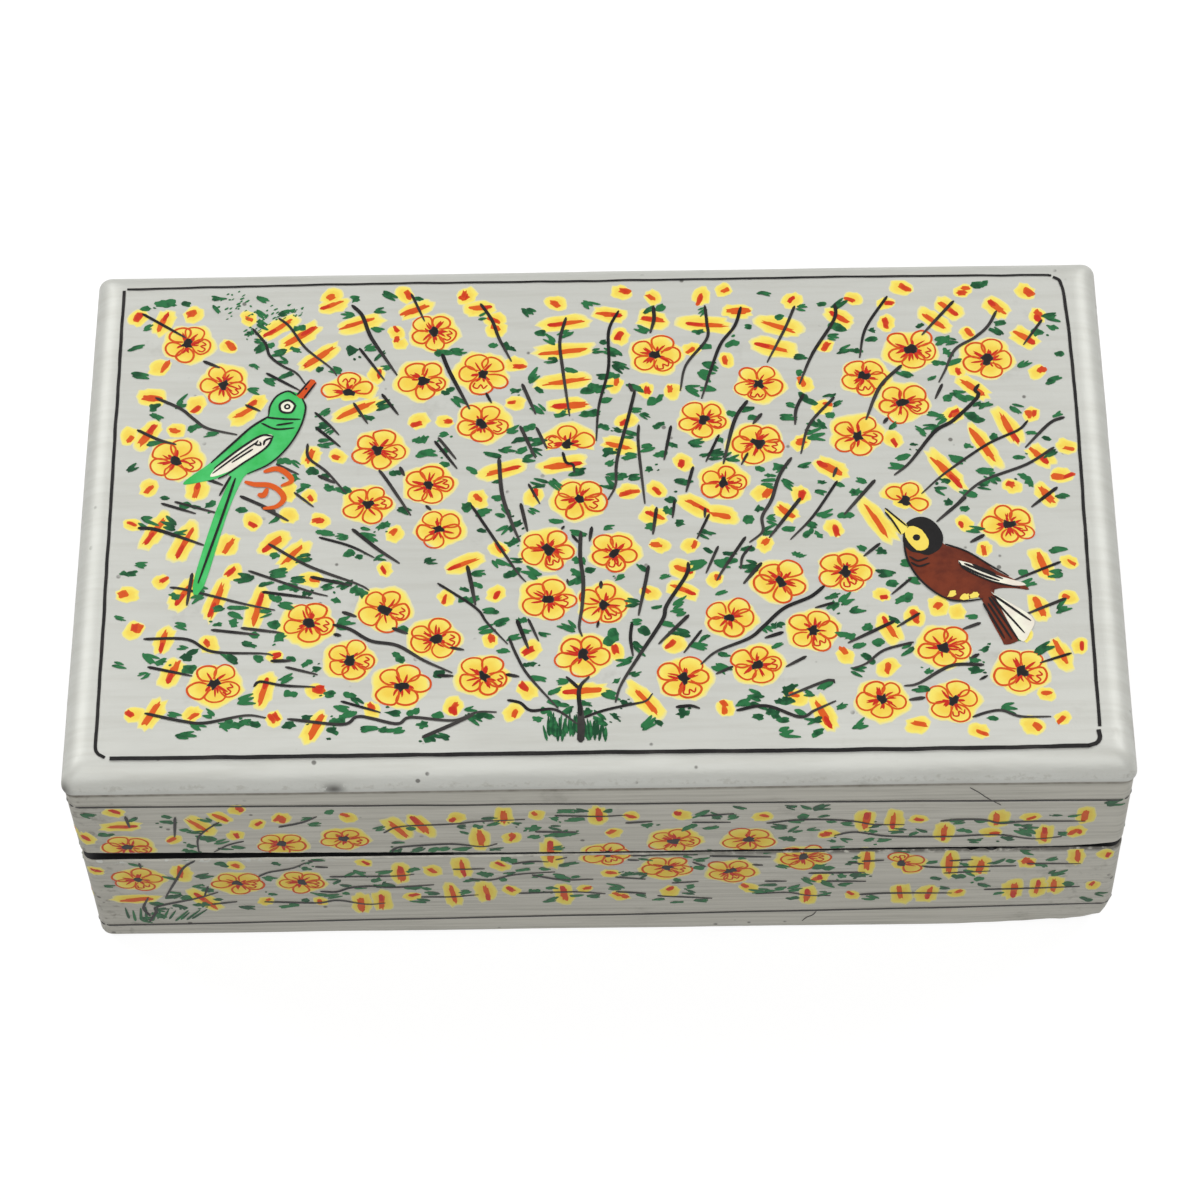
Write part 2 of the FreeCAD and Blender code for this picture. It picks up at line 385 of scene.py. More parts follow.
def ring(inset, corner):
    """Points of a rounded rectangle inside the box's outline, each with its outward direction."""
    half_x = HALF_LENGTH - inset - corner
    half_y = HALF_DEPTH - inset - corner
    turns = (
        (-half_x, -half_y, half_x, -half_y, -90, LONG_STEPS),
        (half_x, -half_y, half_x, half_y, 0, SHORT_STEPS),
        (half_x, half_y, -half_x, half_y, 90, LONG_STEPS),
        (-half_x, half_y, -half_x, -half_y, 180, SHORT_STEPS),
    )
    points = []
    for x0, y0, x1, y1, facing, steps in turns:
        angle = math.radians(facing)
        out = Vector((math.cos(angle), math.sin(angle), 0))
        for step in range(steps):
            share = step / steps
            centre = Vector((x0 + (x1 - x0) * share, y0 + (y1 - y0) * share, 0))
            points.append((centre + out * corner, out))
        for step in range(CORNER_STEPS):
            angle = math.radians(facing + 90 * step / CORNER_STEPS)
            out = Vector((math.cos(angle), math.sin(angle), 0))
            points.append((Vector((x1, y1, 0)) + out * corner, out))
    return points


def shell(name, levels, flat_height, flat_up):
    """A closed shell through the levels, each (inset, corner, height, lean, inside).

    The first level is closed with a grid, the last with one face. height is a number or a
    function of x, lean turns the outward direction from level towards up, and faces from an
    inside level on are black.
    """
    mesh = bmesh.new()
    rows = []
    for inset, corner, height, lean, inside in levels:
        row = []
        for point, out in ring(inset, corner):
            z = height(point.x) if callable(height) else height
            place = Vector((point.x, point.y, z))
            away = out * math.cos(lean) + Vector((0, 0, math.sin(lean)))
            offset = 0.0 if inside else relief(place)
            row.append(mesh.verts.new((place + away * offset) * MM))
        rows.append((row, inside))
    for (row, inside), (following, _) in zip(rows, rows[1:]):
        for at, vert in enumerate(row):
            after = (at + 1) % len(row)
            face = mesh.faces.new((vert, following[at], following[after], row[after]))
            face.material_index = int(inside)
    mesh.faces.new(rows[-1][0]).material_index = int(rows[-1][1])
    fill_flat(mesh, levels[0], flat_height, flat_up)
    bmesh.ops.remove_doubles(mesh, verts=mesh.verts, dist=SAME_PLACE)
    bmesh.ops.recalc_face_normals(mesh, faces=mesh.faces)
    return finish_mesh(name, mesh, smooth=True)


def fill_flat(mesh, level, height, up):
    """The grid of the board's flat face, inside the first level."""
    inset = level[0]
    half_x = HALF_LENGTH - inset
    half_y = HALF_DEPTH - inset
    grid = []
    for along in range(LONG_STEPS + 1):
        line = []
        for across in range(SHORT_STEPS + 1):
            place = Vector((
                half_x * (2 * along / LONG_STEPS - 1), half_y * (2 * across / SHORT_STEPS - 1), height))
            line.append(mesh.verts.new((place + Vector((0, 0, up * relief(place)))) * MM))
        grid.append(line)
    for line, following in zip(grid, grid[1:]):
        for at in range(SHORT_STEPS):
            mesh.faces.new((line[at], following[at], following[at + 1], line[at + 1]))


def finish_mesh(name, mesh, smooth):
    """Turns the working mesh into an object of the scene."""
    data = bpy.data.meshes.new(name)
    mesh.to_mesh(data)
    mesh.free()
    piece = bpy.data.objects.new(name, data)
    bpy.context.scene.collection.objects.link(piece)
    if smooth:
        data.polygons.foreach_set("use_smooth", [True] * len(data.polygons))
        data.set_sharp_from_angle(angle=SHARP_ANGLE)
    return piece


# How the shells' levels are spaced: steps of the rounded edges and of the walls
TOP_STEPS = 12
BOTTOM_STEPS = 6
LID_WALL_STEPS = 18
TRAY_WALL_STEPS = 20
# Width of the flat strip between a flat face's grid and the rounded edge
FLAT_MARGIN = 2.0
# The corners are tighter at the top
TOP_CORNER_LESS = 0.5
# Where the wall starts below the top board's joint
CREASE_DROP = 0.6
# The crease under the top board, as inset and height above the joint
CREASE = ((0.05, 0.1), (WALL_SET_IN + 0.15, -0.15), (WALL_SET_IN, -CREASE_DROP))
# The rim's outer edge is eased, and the inside's edges and corners are a little rounded
RIM_EASE = 0.13
RIM_LEAN = 0.8
INSIDE_ROUND = 0.3
FLOOR_ROUND = 0.2
LID_RIM_CORNER = 0.6


def wall_levels(steps, start, end):
    """Levels up or down a wall, from a plain height to the height that end gives at each x."""
    levels = []
    for step in range(1, steps + 1):
        def height(x, share=step / steps):
            return start * (1 - share) + end(x) * share
        levels.append((WALL_SET_IN, CORNER_ROUND, height, 0.0, False))
    return levels


def lid_levels():
    """From the flat top over the rounded edge, down the wall, round the rim and up inside."""
    levels = [(TOP_ROUND + FLAT_MARGIN, 0.0, TOP, math.pi / 2, False)]
    for step in range(TOP_STEPS + 1):
        lean = math.pi / 2 * (1 - step / TOP_STEPS)
        inset = TOP_ROUND * (1 - math.cos(lean))
        height = TOP - TOP_ROUND * (1 - math.sin(lean))
        levels.append((inset, CORNER_ROUND - TOP_CORNER_LESS * math.sin(lean), height, lean, False))
    for inset, above in CREASE:
        levels.append((inset, CORNER_ROUND, JOINT + above, 0.0, False))
    levels += wall_levels(LID_WALL_STEPS, JOINT - CREASE_DROP, lambda x: lid_rim_at(x) + RIM_ROUND)
    levels.append((
        WALL_SET_IN + RIM_EASE, CORNER_ROUND, lambda x: lid_rim_at(x) + RIM_EASE, -RIM_LEAN, False))
    levels.append((WALL_SET_IN + RIM_ROUND, CORNER_ROUND, lid_rim_at, 0.0, True))
    levels.append((WALL - INSIDE_ROUND, LID_RIM_CORNER, lid_rim_at, 0.0, True))
    levels.append((WALL, INSIDE_ROUND, lambda x: lid_rim_at(x) + INSIDE_ROUND, 0.0, True))
    levels.append((WALL, INSIDE_ROUND, JOINT - INSIDE_ROUND, 0.0, True))
    levels.append((WALL + INSIDE_ROUND, INSIDE_ROUND, JOINT, 0.0, True))
    return levels


def tray_levels():
    """From the flat underside round the bottom edge, up the wall, over the rim and down inside."""
    levels = [(BOTTOM_ROUND + FLAT_MARGIN, 0.0, 0.0, -math.pi / 2, False)]
    for step in range(BOTTOM_STEPS + 1):
        lean = math.pi / 2 * (step / BOTTOM_STEPS - 1)
        inset = BOTTOM_ROUND * (1 - math.cos(lean)) + WALL_SET_IN
        height = BOTTOM_ROUND * (1 + math.sin(lean))
        levels.append((inset, CORNER_ROUND, height, lean, False))
    levels += wall_levels(TRAY_WALL_STEPS, BOTTOM_ROUND, lambda x: tray_rim_at(x) - RIM_ROUND)
    levels.append((
        WALL_SET_IN + RIM_EASE, CORNER_ROUND, lambda x: tray_rim_at(x) - RIM_EASE, RIM_LEAN, False))
    levels.append((WALL_SET_IN + RIM_ROUND, CORNER_ROUND, tray_rim_at, 0.0, True))
    levels.append((WALL, INSIDE_ROUND, tray_rim_at, 0.0, True))
    levels.append((WALL, INSIDE_ROUND, FLOOR + FLOOR_ROUND, 0.0, True))
    levels.append((WALL + FLOOR_ROUND, INSIDE_ROUND, FLOOR, 0.0, True))
    return levels


# Sheets: where a spot of the painting lies on the box, and which way its face looks


def top_sheet(spot):
    """The lid's flat top: x to the right, y to the back, both from its middle."""
    return Vector((spot.x, spot.y, TOP)), Vector((0, 0, 1))


GIRTH_X = HALF_LENGTH - WALL_SET_IN - CORNER_ROUND
GIRTH_Y = HALF_DEPTH - WALL_SET_IN - CORNER_ROUND
GIRTH_ARC = CORNER_ROUND * math.pi / 2
QUARTER_GIRTH = GIRTH_X + GIRTH_ARC + GIRTH_Y
FULL_GIRTH = 4 * (GIRTH_X + GIRTH_Y + GIRTH_ARC)
# Each side's middle, as a distance round the box from the middle of the front, and half its length
SIDES = {
    "front": (0.0, GIRTH_X),
    "right": (QUARTER_GIRTH, GIRTH_Y),
    "back": (2 * QUARTER_GIRTH, GIRTH_X),
    "left": (FULL_GIRTH - QUARTER_GIRTH, GIRTH_Y),
}
# The sides in turn from the front's, each as half its length and the signs of the corner at its end
RUNS = ((GIRTH_X, 1, -1), (GIRTH_Y, 1, 1), (GIRTH_X, -1, 1), (GIRTH_Y, -1, -1))


def girth_sheet(spot):
    """The walls unrolled: x is the distance round the box, y the height."""
    rest = (spot.x + GIRTH_X) % FULL_GIRTH
    facing = -90
    for half_run, sign_x, sign_y in RUNS:
        centre = Vector((sign_x * GIRTH_X, sign_y * GIRTH_Y, spot.y))
        angle = math.radians(facing)
        if rest <= 2 * half_run:
            along = Vector((-math.sin(angle), math.cos(angle), 0))
            out = Vector((math.cos(angle), math.sin(angle), 0))
            return centre - along * (2 * half_run - rest) + out * CORNER_ROUND, out
        rest -= 2 * half_run
        if rest < GIRTH_ARC:
            angle += rest / CORNER_ROUND
            out = Vector((math.cos(angle), math.sin(angle), 0))
            return centre + out * CORNER_ROUND, out
        rest -= GIRTH_ARC
        facing += 90
    raise ValueError("a place beyond the girth")


def side_sheet(side):
    """One wall: x from its middle to the right as seen from outside, y the height."""
    middle = SIDES[side][0]
    return lambda spot: girth_sheet(Vector((spot.x + middle, spot.y)))


# Paint: thin closed marks that follow the ground. Their underside sinks into it, and marks of one paint
# take turns at slightly different heights
FILM_SINK = 0.06
MARK_STEP = 0.0012
MARK_TURNS = 16
# Loops of a dab's points, as shares of the way to its rim, and the rim's share of its height
PATCH_LOOPS = (0.55, 0.82, 1.0)
PATCH_RIM = 0.5
# Spacing of the cuts through a filled outline, so that it can follow the ground
SHAPE_GRID = 2.0


class Film:
    """The marks of one paint, as points, faces and the share of its edge colour."""

    def __init__(self, level):
        self.level = level
        self.points = []
        self.faces = []
        self.tints = []
        self.marks = 0

    def lift(self):
        """Height of the next mark's face, so that marks that cross never share a face."""
        self.marks += 1
        return self.level + MARK_STEP * (self.marks % MARK_TURNS)

    def put(self, sheet, spot, height, tint):
        """Adds a point at the height above the ground, and gives its number."""
        base, out = sheet(spot)
        self.points.append((base + out * (relief(base) + height)) * MM)
        self.tints.append(tint)
        return len(self.points) - 1

    def ribbon(self, sheet, path, width, tint):
        """A brush line along the path; width and tint are functions of the share of its length."""
        high = self.lift()
        rows = []
        last = len(path) - 1
        for at, spot in enumerate(path):
            along = (path[min(at + 1, last)] - path[max(at - 1, 0)]).normalized()
            share = at / last
            side = Vector((-along.y, along.x)) * (width(share) / 2)
            shade = tint(share)
            rows.append((
                self.put(sheet, spot + side, high, shade),
                self.put(sheet, spot - side, high, shade),
                self.put(sheet, spot, -FILM_SINK, shade)))
        for (left, right, under), (left2, right2, under2) in zip(rows, rows[1:]):
            self.faces += [
                (left, right, right2, left2), (right, under, under2, right2), (under, left, left2, under2)]
        self.faces += [rows[0][::-1], rows[-1]]

    def patch(self, sheet, centre, outline, tints=(0.0, 0.2, 0.5, 1.0)):
        """A dab with a rim seen whole from its centre; tints run from the centre to the rim."""
        high = self.lift()
        middle = self.put(sheet, centre, high, tints[0])
        under = self.put(sheet, centre, -FILM_SINK, tints[-1])
        loops = []
        for share, tint in zip(PATCH_LOOPS, tints[1:]):
            loop_high = high * (1.0 if share < 1 else PATCH_RIM)
            loops.append([
                self.put(sheet, centre + (spot - centre) * share, loop_high, tint) for spot in outline])
        count = len(outline)
        for at in range(count):
            after = (at + 1) % count
            self.faces.append((middle, loops[0][at], loops[0][after]))
            for inner, outer in zip(loops, loops[1:]):
                self.faces.append((inner[at], outer[at], outer[after], inner[after]))
            self.faces.append((loops[-1][after], loops[-1][at], under))

    def shape(self, sheet, outline, tint):
        """A filled outline of any form; tint is a function of the spot."""
        high = self.lift()
        cut = bmesh.new()
        cut.faces.new([cut.verts.new((spot.x, spot.y, 0)) for spot in outline])
        for axis in (0, 1):
            along = [spot[axis] for spot in outline]
            for line in range(math.ceil(min(along) / SHAPE_GRID), math.ceil(max(along) / SHAPE_GRID)):
                place = Vector((0, 0, 0))
                place[axis] = line * SHAPE_GRID
                facing = Vector((0, 0, 0))
                facing[axis] = 1
                bmesh.ops.bisect_plane(
                    cut, geom=cut.verts[:] + cut.edges[:] + cut.faces[:], plane_co=place, plane_no=facing)
        bmesh.ops.triangulate(cut, faces=cut.faces[:])
        bmesh.ops.recalc_face_normals(cut, faces=cut.faces[:])
        cut.verts.index_update()
        over = [self.put(sheet, vert.co.xy, high, tint(vert.co.xy)) for vert in cut.verts]
        below = [self.put(sheet, vert.co.xy, -FILM_SINK, tint(vert.co.xy)) for vert in cut.verts]
        for face in cut.faces:
            corners = [vert.index for vert in face.verts]
            self.faces.append(tuple(over[at] for at in corners))
            self.faces.append(tuple(below[at] for at in reversed(corners)))
        for edge in cut.edges:
            if edge.is_boundary:
                first, second = (vert.index for vert in edge.verts)
                self.faces.append((over[first], below[first], below[second], over[second]))
        cut.free()

    def mesh(self):
        """The marks as a working mesh with the tint on its points."""
        made = bmesh.new()
        layer = made.verts.layers.float.new("tint")
        verts = []
        for point, tint in zip(self.points, self.tints):
            vert = made.verts.new(point)
            vert[layer] = tint
            verts.append(vert)
        for face in self.faces:
            made.faces.new([verts[at] for at in face])
        return made


def bend(before, start, end, after, step):
    """Spots of the smooth line from start to just before end, in short steps."""
    count = max(2, round((end - start).length / step))
    path = []
    for at in range(count):
        t = at / count
        path.append(0.5 * (
            2 * start + (end - before) * t + (2 * before - 5 * start + 4 * end - after) * t * t
            + (3 * start - before - 3 * end + after) * t * t * t))
    return path


def curve(knots, step=0.5):
    """A smooth line through the knots."""
    knots = [Vector(knot) for knot in knots]
    padded = [2 * knots[0] - knots[1], *knots, 2 * knots[-1] - knots[-2]]
    path = []
    for four in zip(padded, padded[1:], padded[2:], padded[3:]):
        path += bend(*four, step)
    path.append(knots[-1])
    return path


def closed_curve(knots, step=0.7):
    """A smooth closed outline through the knots."""
    knots = [Vector(knot) for knot in knots]
    count = len(knots)
    outline = []
    for at in range(count):
        outline += bend(*(knots[(at + offset) % count] for offset in (-1, 0, 1, 2)), step)
    return outline


def turned(spot, angle, along, across=0.0):
    """The spot moved along and across a direction."""
    return spot + Vector((
        math.cos(angle) * along - math.sin(angle) * across,
        math.sin(angle) * along + math.cos(angle) * across))


def brushed(width, head=0.12, tail=0.3, thin=0.25):
    """Width of a line that starts blunt and ends in a point."""
    def at(share):
        edge = min(1.0, share / head, (1 - share) / tail)
        return width * (thin + (1 - thin) * math.sqrt(max(edge, 0.0)))
    return at


def steady(tint):
    """The same tint all along a mark."""
    return lambda place: tint


class Kit:
    """The films of one part of the painting, each a little higher than the one before."""

    def __init__(self):
        self.yellow = Film(0.020)
        self.red = Film(0.045)
        self.leaf = Film(0.070)
        self.line = Film(0.095)


# A flower: height as a share of width, petals, points of its yellow and of its black middle
FLOWER_HEIGHT = 0.9
PETALS = 5
PETAL_TURN = 2 * math.pi / PETALS
HALO_POINTS = 30
HEART_POINTS = 11
# The yellow's shift in millimetres, and its share of the reach: mean, in the lobes, at random
HALO_SHIFT = (-0.4, 0.4)
HALO_REACH = 1.06
HALO_LOBES = 0.07
HALO_ROUGH = (-0.05, 0.05)
# Where a half flower has no petals, its yellow reaches only so far
HALF_PETAL = 0.62
HALF_REACH = 0.42
# A petal's turn, its length, width and bulge, as shares of the flower's reach
PETAL_LEAN = (-0.18, 0.18)
PETAL_LENGTH = (0.86, 1.06)
PETAL_WIDTH = (0.31, 0.45)
PETAL_BULGE = (-0.15, 0.15)
PETAL_LINE = (0.30, 0.40)
# The red ticks in a petal, and a curl in one petal
TICK_LEAN = (-0.45, 0.45)
TICK_LENGTH = (0.4, 0.68)
TICK_LINE = (0.32, 0.5)
CURL_CHANCE = 0.8
CURL = ((0.46, -0.22), (0.66, -0.27), (0.74, -0.10), (0.54, 0.0), (0.72, 0.12), (0.54, 0.24))
HEART_REACHES = (0.15, 0.19, 0.24, 0.29)


def flower(kit, sheet, spot, reach, turn, rng, petals=range(PETALS)):
    """Yellow flower: red petal loops from the turn on, red ticks and a black middle."""
    whole = len(petals) == PETALS

    def squat(angle, along, across=0.0):
        place = turned(spot, angle, along, across)
        return Vector((place.x, spot.y + (place.y - spot.y) * FLOWER_HEIGHT))

    halo_shift = Vector((rng.uniform(*HALO_SHIFT), rng.uniform(*HALO_SHIFT)))
    outline = []
    for at in range(HALO_POINTS):
        around = 2 * math.pi * at / HALO_POINTS
        lobe = math.cos(PETALS * (around - turn))
        far = reach * (HALO_REACH + HALO_LOBES * lobe + rng.uniform(*HALO_ROUGH))
        if not whole:
            nearest = min(
                abs(math.remainder(around - turn - PETAL_TURN * petal, 2 * math.pi)) for petal in petals)
            far *= 1.0 if nearest < HALF_PETAL * PETAL_TURN else HALF_REACH
        outline.append(squat(around, far) + halo_shift)
    kit.yellow.patch(sheet, spot + halo_shift, outline)
    curled = petals[-rng.choice((1, 1, 2))]
    for petal in petals:
        facing = turn + PETAL_TURN * petal + rng.uniform(*PETAL_LEAN)
        long = reach * rng.uniform(*PETAL_LENGTH)
        wide = reach * rng.uniform(*PETAL_WIDTH)
        bulge = rng.uniform(*PETAL_BULGE)
        knots = (
            (0.22 * reach, -0.09 * reach), (0.44 * long, -0.80 * wide),
            (0.70 * long, (-1.0 + bulge) * wide), (0.93 * long, -0.62 * wide), (1.0 * long, 0.0),
            (0.93 * long, 0.62 * wide), (0.70 * long, (1.0 + bulge) * wide), (0.42 * long, 0.80 * wide),
            (0.18 * reach, 0.07 * reach))
        path = curve([squat(facing, *knot) for knot in knots], 0.4)
        kit.red.ribbon(sheet, path, brushed(rng.uniform(*PETAL_LINE), 0.1, 0.1, 0.5), steady(0.4))
        for _ in range(rng.choice((1, 2, 3))):
            lean = facing + rng.uniform(*TICK_LEAN)
            tick = curve((
                squat(lean, 0.12 * reach), squat(lean + rng.uniform(-0.1, 0.1), 0.3 * reach),
                squat(lean + rng.uniform(-0.15, 0.15), rng.uniform(*TICK_LENGTH) * reach)))
            kit.red.ribbon(sheet, tick, brushed(rng.uniform(*TICK_LINE)), steady(0.0))
        if petal == curled and rng.random() < CURL_CHANCE:
            curl = curve([squat(facing, along * reach, across * reach) for along, across in CURL], 0.3)
            kit.red.ribbon(sheet, curl, brushed(0.3, 0.1, 0.1, 0.6), steady(0.1))
    heart = []
    for at in range(HEART_POINTS):
        far = reach * rng.choice(HEART_REACHES)
        heart.append(turned(spot, 2 * math.pi * at / HEART_POINTS + rng.uniform(-0.1, 0.1), far))
    kit.line.patch(sheet, spot, heart, (0.0, 0.0, 0.1, 0.4))


def dab(spot, facing, long, wide, rng, square=2.6, rough=0.08, count=16):
    """Outline of a blunt brush dab; long and wide are full sizes."""
    def blunt(share):
        return abs(share) ** (2 / square) * math.copysign(1, share)

    outline = []
    for at in range(count):
        around = 2 * math.pi * at / count
        reach = 0.5 + rng.uniform(-rough, rough)
        along = long * blunt(math.cos(around)) * reach
        outline.append(turned(spot, facing, along, wide * blunt(math.sin(around)) * reach))
    return outline


# Tints of a soft yellow dab from its middle to its rim
DAB_TINTS = (0.15, 0.3, 0.62, 1.0)
# The red touches on a bud: place, lean, length and width as shares of its size
TOUCH_ALONG = (-0.5, 0.7)
TOUCH_ASIDE = (-0.35, 0.35)
TOUCH_LEAN = (-0.6, 0.6)
TOUCH_LENGTH = (1.1, 1.7)
TOUCH_WIDTH = (0.6, 0.95)
# Widths of a bar's yellow and of its stroke, and how often one end of the stroke is redder
BAR_WIDTH = (3.2, 4.2)
BAR_STROKE = (0.95, 1.45)
RED_END_CHANCE = 0.6
# How often a leaf is a fan of dry strokes, and how often a dab is ragged
FAN_CHANCE = 0.55
RAGGED_CHANCE = 0.5
# A fan's strokes and a dab's lobes, as shares of the leaf's size
FAN_STROKES = (3, 4, 5)
FAN_START = (-1.4, -0.5)
FAN_ASIDE = (-0.55, 0.55)
FAN_SPREAD = (-0.4, 0.4)
FAN_LENGTH = (1.5, 2.8)
FAN_WIDTH = (0.55, 0.85)
LOBE_GAP = 1.1
LOBE_LENGTH = (1.7, 2.4)
LOBE_WIDTH = (1.0, 1.7)


def bud(kit, sheet, spot, size, facing, rng):
    """Small yellow dab with one or two red touches."""
    kit.yellow.patch(sheet, spot, dab(spot, facing, 2.7 * size, 2.2 * size, rng, 2.2, 0.07), DAB_TINTS)
    for _ in range(rng.choice((1, 1, 1, 2))):
        touch = turned(spot, facing, rng.uniform(*TOUCH_ALONG) * size, rng.uniform(*TOUCH_ASIDE) * size)
        lean = facing + rng.uniform(*TOUCH_LEAN)
        long = rng.uniform(*TOUCH_LENGTH) * size
        outline = dab(touch, lean, long, rng.uniform(*TOUCH_WIDTH) * size, rng, 2.8, 0.12, 12)
        warm = rng.uniform(0.0, 0.5)
        kit.red.patch(sheet, touch, outline, (warm, warm, warm + 0.2, warm + 0.5))


def bar(kit, sheet, spot, facing, long, rng):
    """Long yellow dab across a twig, with an orange stroke that is redder at one end."""
    halo = dab(spot, facing, long, rng.uniform(*BAR_WIDTH), rng, 2.6, 0.07, 20)
    kit.yellow.patch(sheet, spot, halo, DAB_TINTS)
    aside = rng.uniform(-0.3, 0.3)
    middle = turned(spot, facing, rng.uniform(-0.06, 0.06) * long, aside)
    wide = rng.uniform(*BAR_STROKE)
    warm = rng.uniform(0.35, 0.9)
    stroke = dab(middle, facing + rng.uniform(-0.1, 0.1), 0.72 * long, wide, rng, 2.4, 0.1, 18)
    kit.red.patch(sheet, middle, stroke, (warm, warm, warm, min(1.0, warm + 0.3)))
    if rng.random() < RED_END_CHANCE:
        end = rng.choice((-1, 1)) * long
        path = curve((turned(middle, facing, 0.05 * end), turned(middle, facing, 0.36 * end)), 0.4)
        kit.red.ribbon(sheet, path, brushed(0.7 * wide, 0.3, 0.2, 0.4), steady(0.1))


def leaf(kit, sheet, spot, size, facing, rng):
    """Green dab of one or two lobes, or a fan of short strokes where the brush ran dry."""
    shade = rng.uniform(0.0, 0.55)
    if rng.random() < FAN_CHANCE:
        for _ in range(rng.choice(FAN_STROKES)):
            start = turned(spot, facing, rng.uniform(*FAN_START) * size, rng.uniform(*FAN_ASIDE) * size)
            tip = turned(start, facing + rng.uniform(*FAN_SPREAD), rng.uniform(*FAN_LENGTH) * size)
            wide = brushed(rng.uniform(*FAN_WIDTH) * size, 0.25, 0.6, 0.3)
            kit.leaf.ribbon(sheet, curve((start, tip)), wide, lambda share: shade + 0.3 * share)
        return
    ragged = rng.random() < RAGGED_CHANCE
    for lobe in range(rng.choice((1, 1, 2))):
        middle = turned(spot, facing, lobe * LOBE_GAP * size, lobe * rng.uniform(-0.4, 0.4) * size)
        lean = facing + lobe * rng.uniform(-1.0, 1.0)
        outline = dab(
            middle, lean, rng.uniform(*LOBE_LENGTH) * size, rng.uniform(*LOBE_WIDTH) * size, rng, 2.0,
            0.2 if ragged else 0.11, 13)
        kit.leaf.patch(sheet, middle, outline, (shade, shade, shade + 0.15, shade + 0.35))
    for _ in range(rng.choice((0, 0, 1, 2)) if ragged else 0):
        crumb = turned(spot, rng.uniform(0, 2 * math.pi), size * rng.uniform(1.3, 1.8))
        outline = dab(crumb, facing, 0.6 * size, 0.4 * size, rng, 2.0, 0.15, 7)
        kit.leaf.patch(sheet, crumb, outline, (shade,) * 4)


def twig(kit, sheet, knots, rng, width):
    """Dark stem line drawn in one stroke."""
    grey = rng.uniform(0.0, 0.35)
    kit.line.ribbon(
        sheet, curve(knots), brushed(width * rng.uniform(0.85, 1.25), 0.04, 0.45, 0.4),
        lambda share: grey + 0.5 * share ** 3)


# The spray on the lid, its places read off the photo: flower middles, twigs as x and y by
# turns from one end to the other, bars as place, slant in degrees and length, and bud middles
LID_FLOWERS = (
    (-72, 35.6), (-65.2, 26.8), (-72.8, 10.8), (-30.3, 27.2), (-28.5, 37.5), (-37.7, 12.5),
    (-39.3, 1.2), (-28.8, 5), (-19.8, 28.3), (-19.8, 17.7), (10.6, 31.8), (28.4, 25.3), (18.6, 17.8),
    (27.9, 12.8), (21.8, 4.7), (-3, 1.7), (55.3, 32.2), (46.8, 26.5), (68.5, 29.8), (53.2, 20.8),
    (45.2, 14), (-48.5, -22.5), (-35.8, -20.2), (-41.3, -30), (-64, -34.3), (-32.6, -35.2),
    (-27.2, -26), (-27, -4), (-8.3, -8.5), (3, -9.3), (-8.3, -18.5), (1, -19.7), (-19, -33.6),
    (-2.4, -29.6), (22.3, -22.6), (26.7, -32), (14.5, -34.5), (31, -15.5), (42, -13.8), (36.3, -25.5),
    (70.3, -4.8), (58, -29), (70.7, -34), (47.3, -39), (59, -39.5))
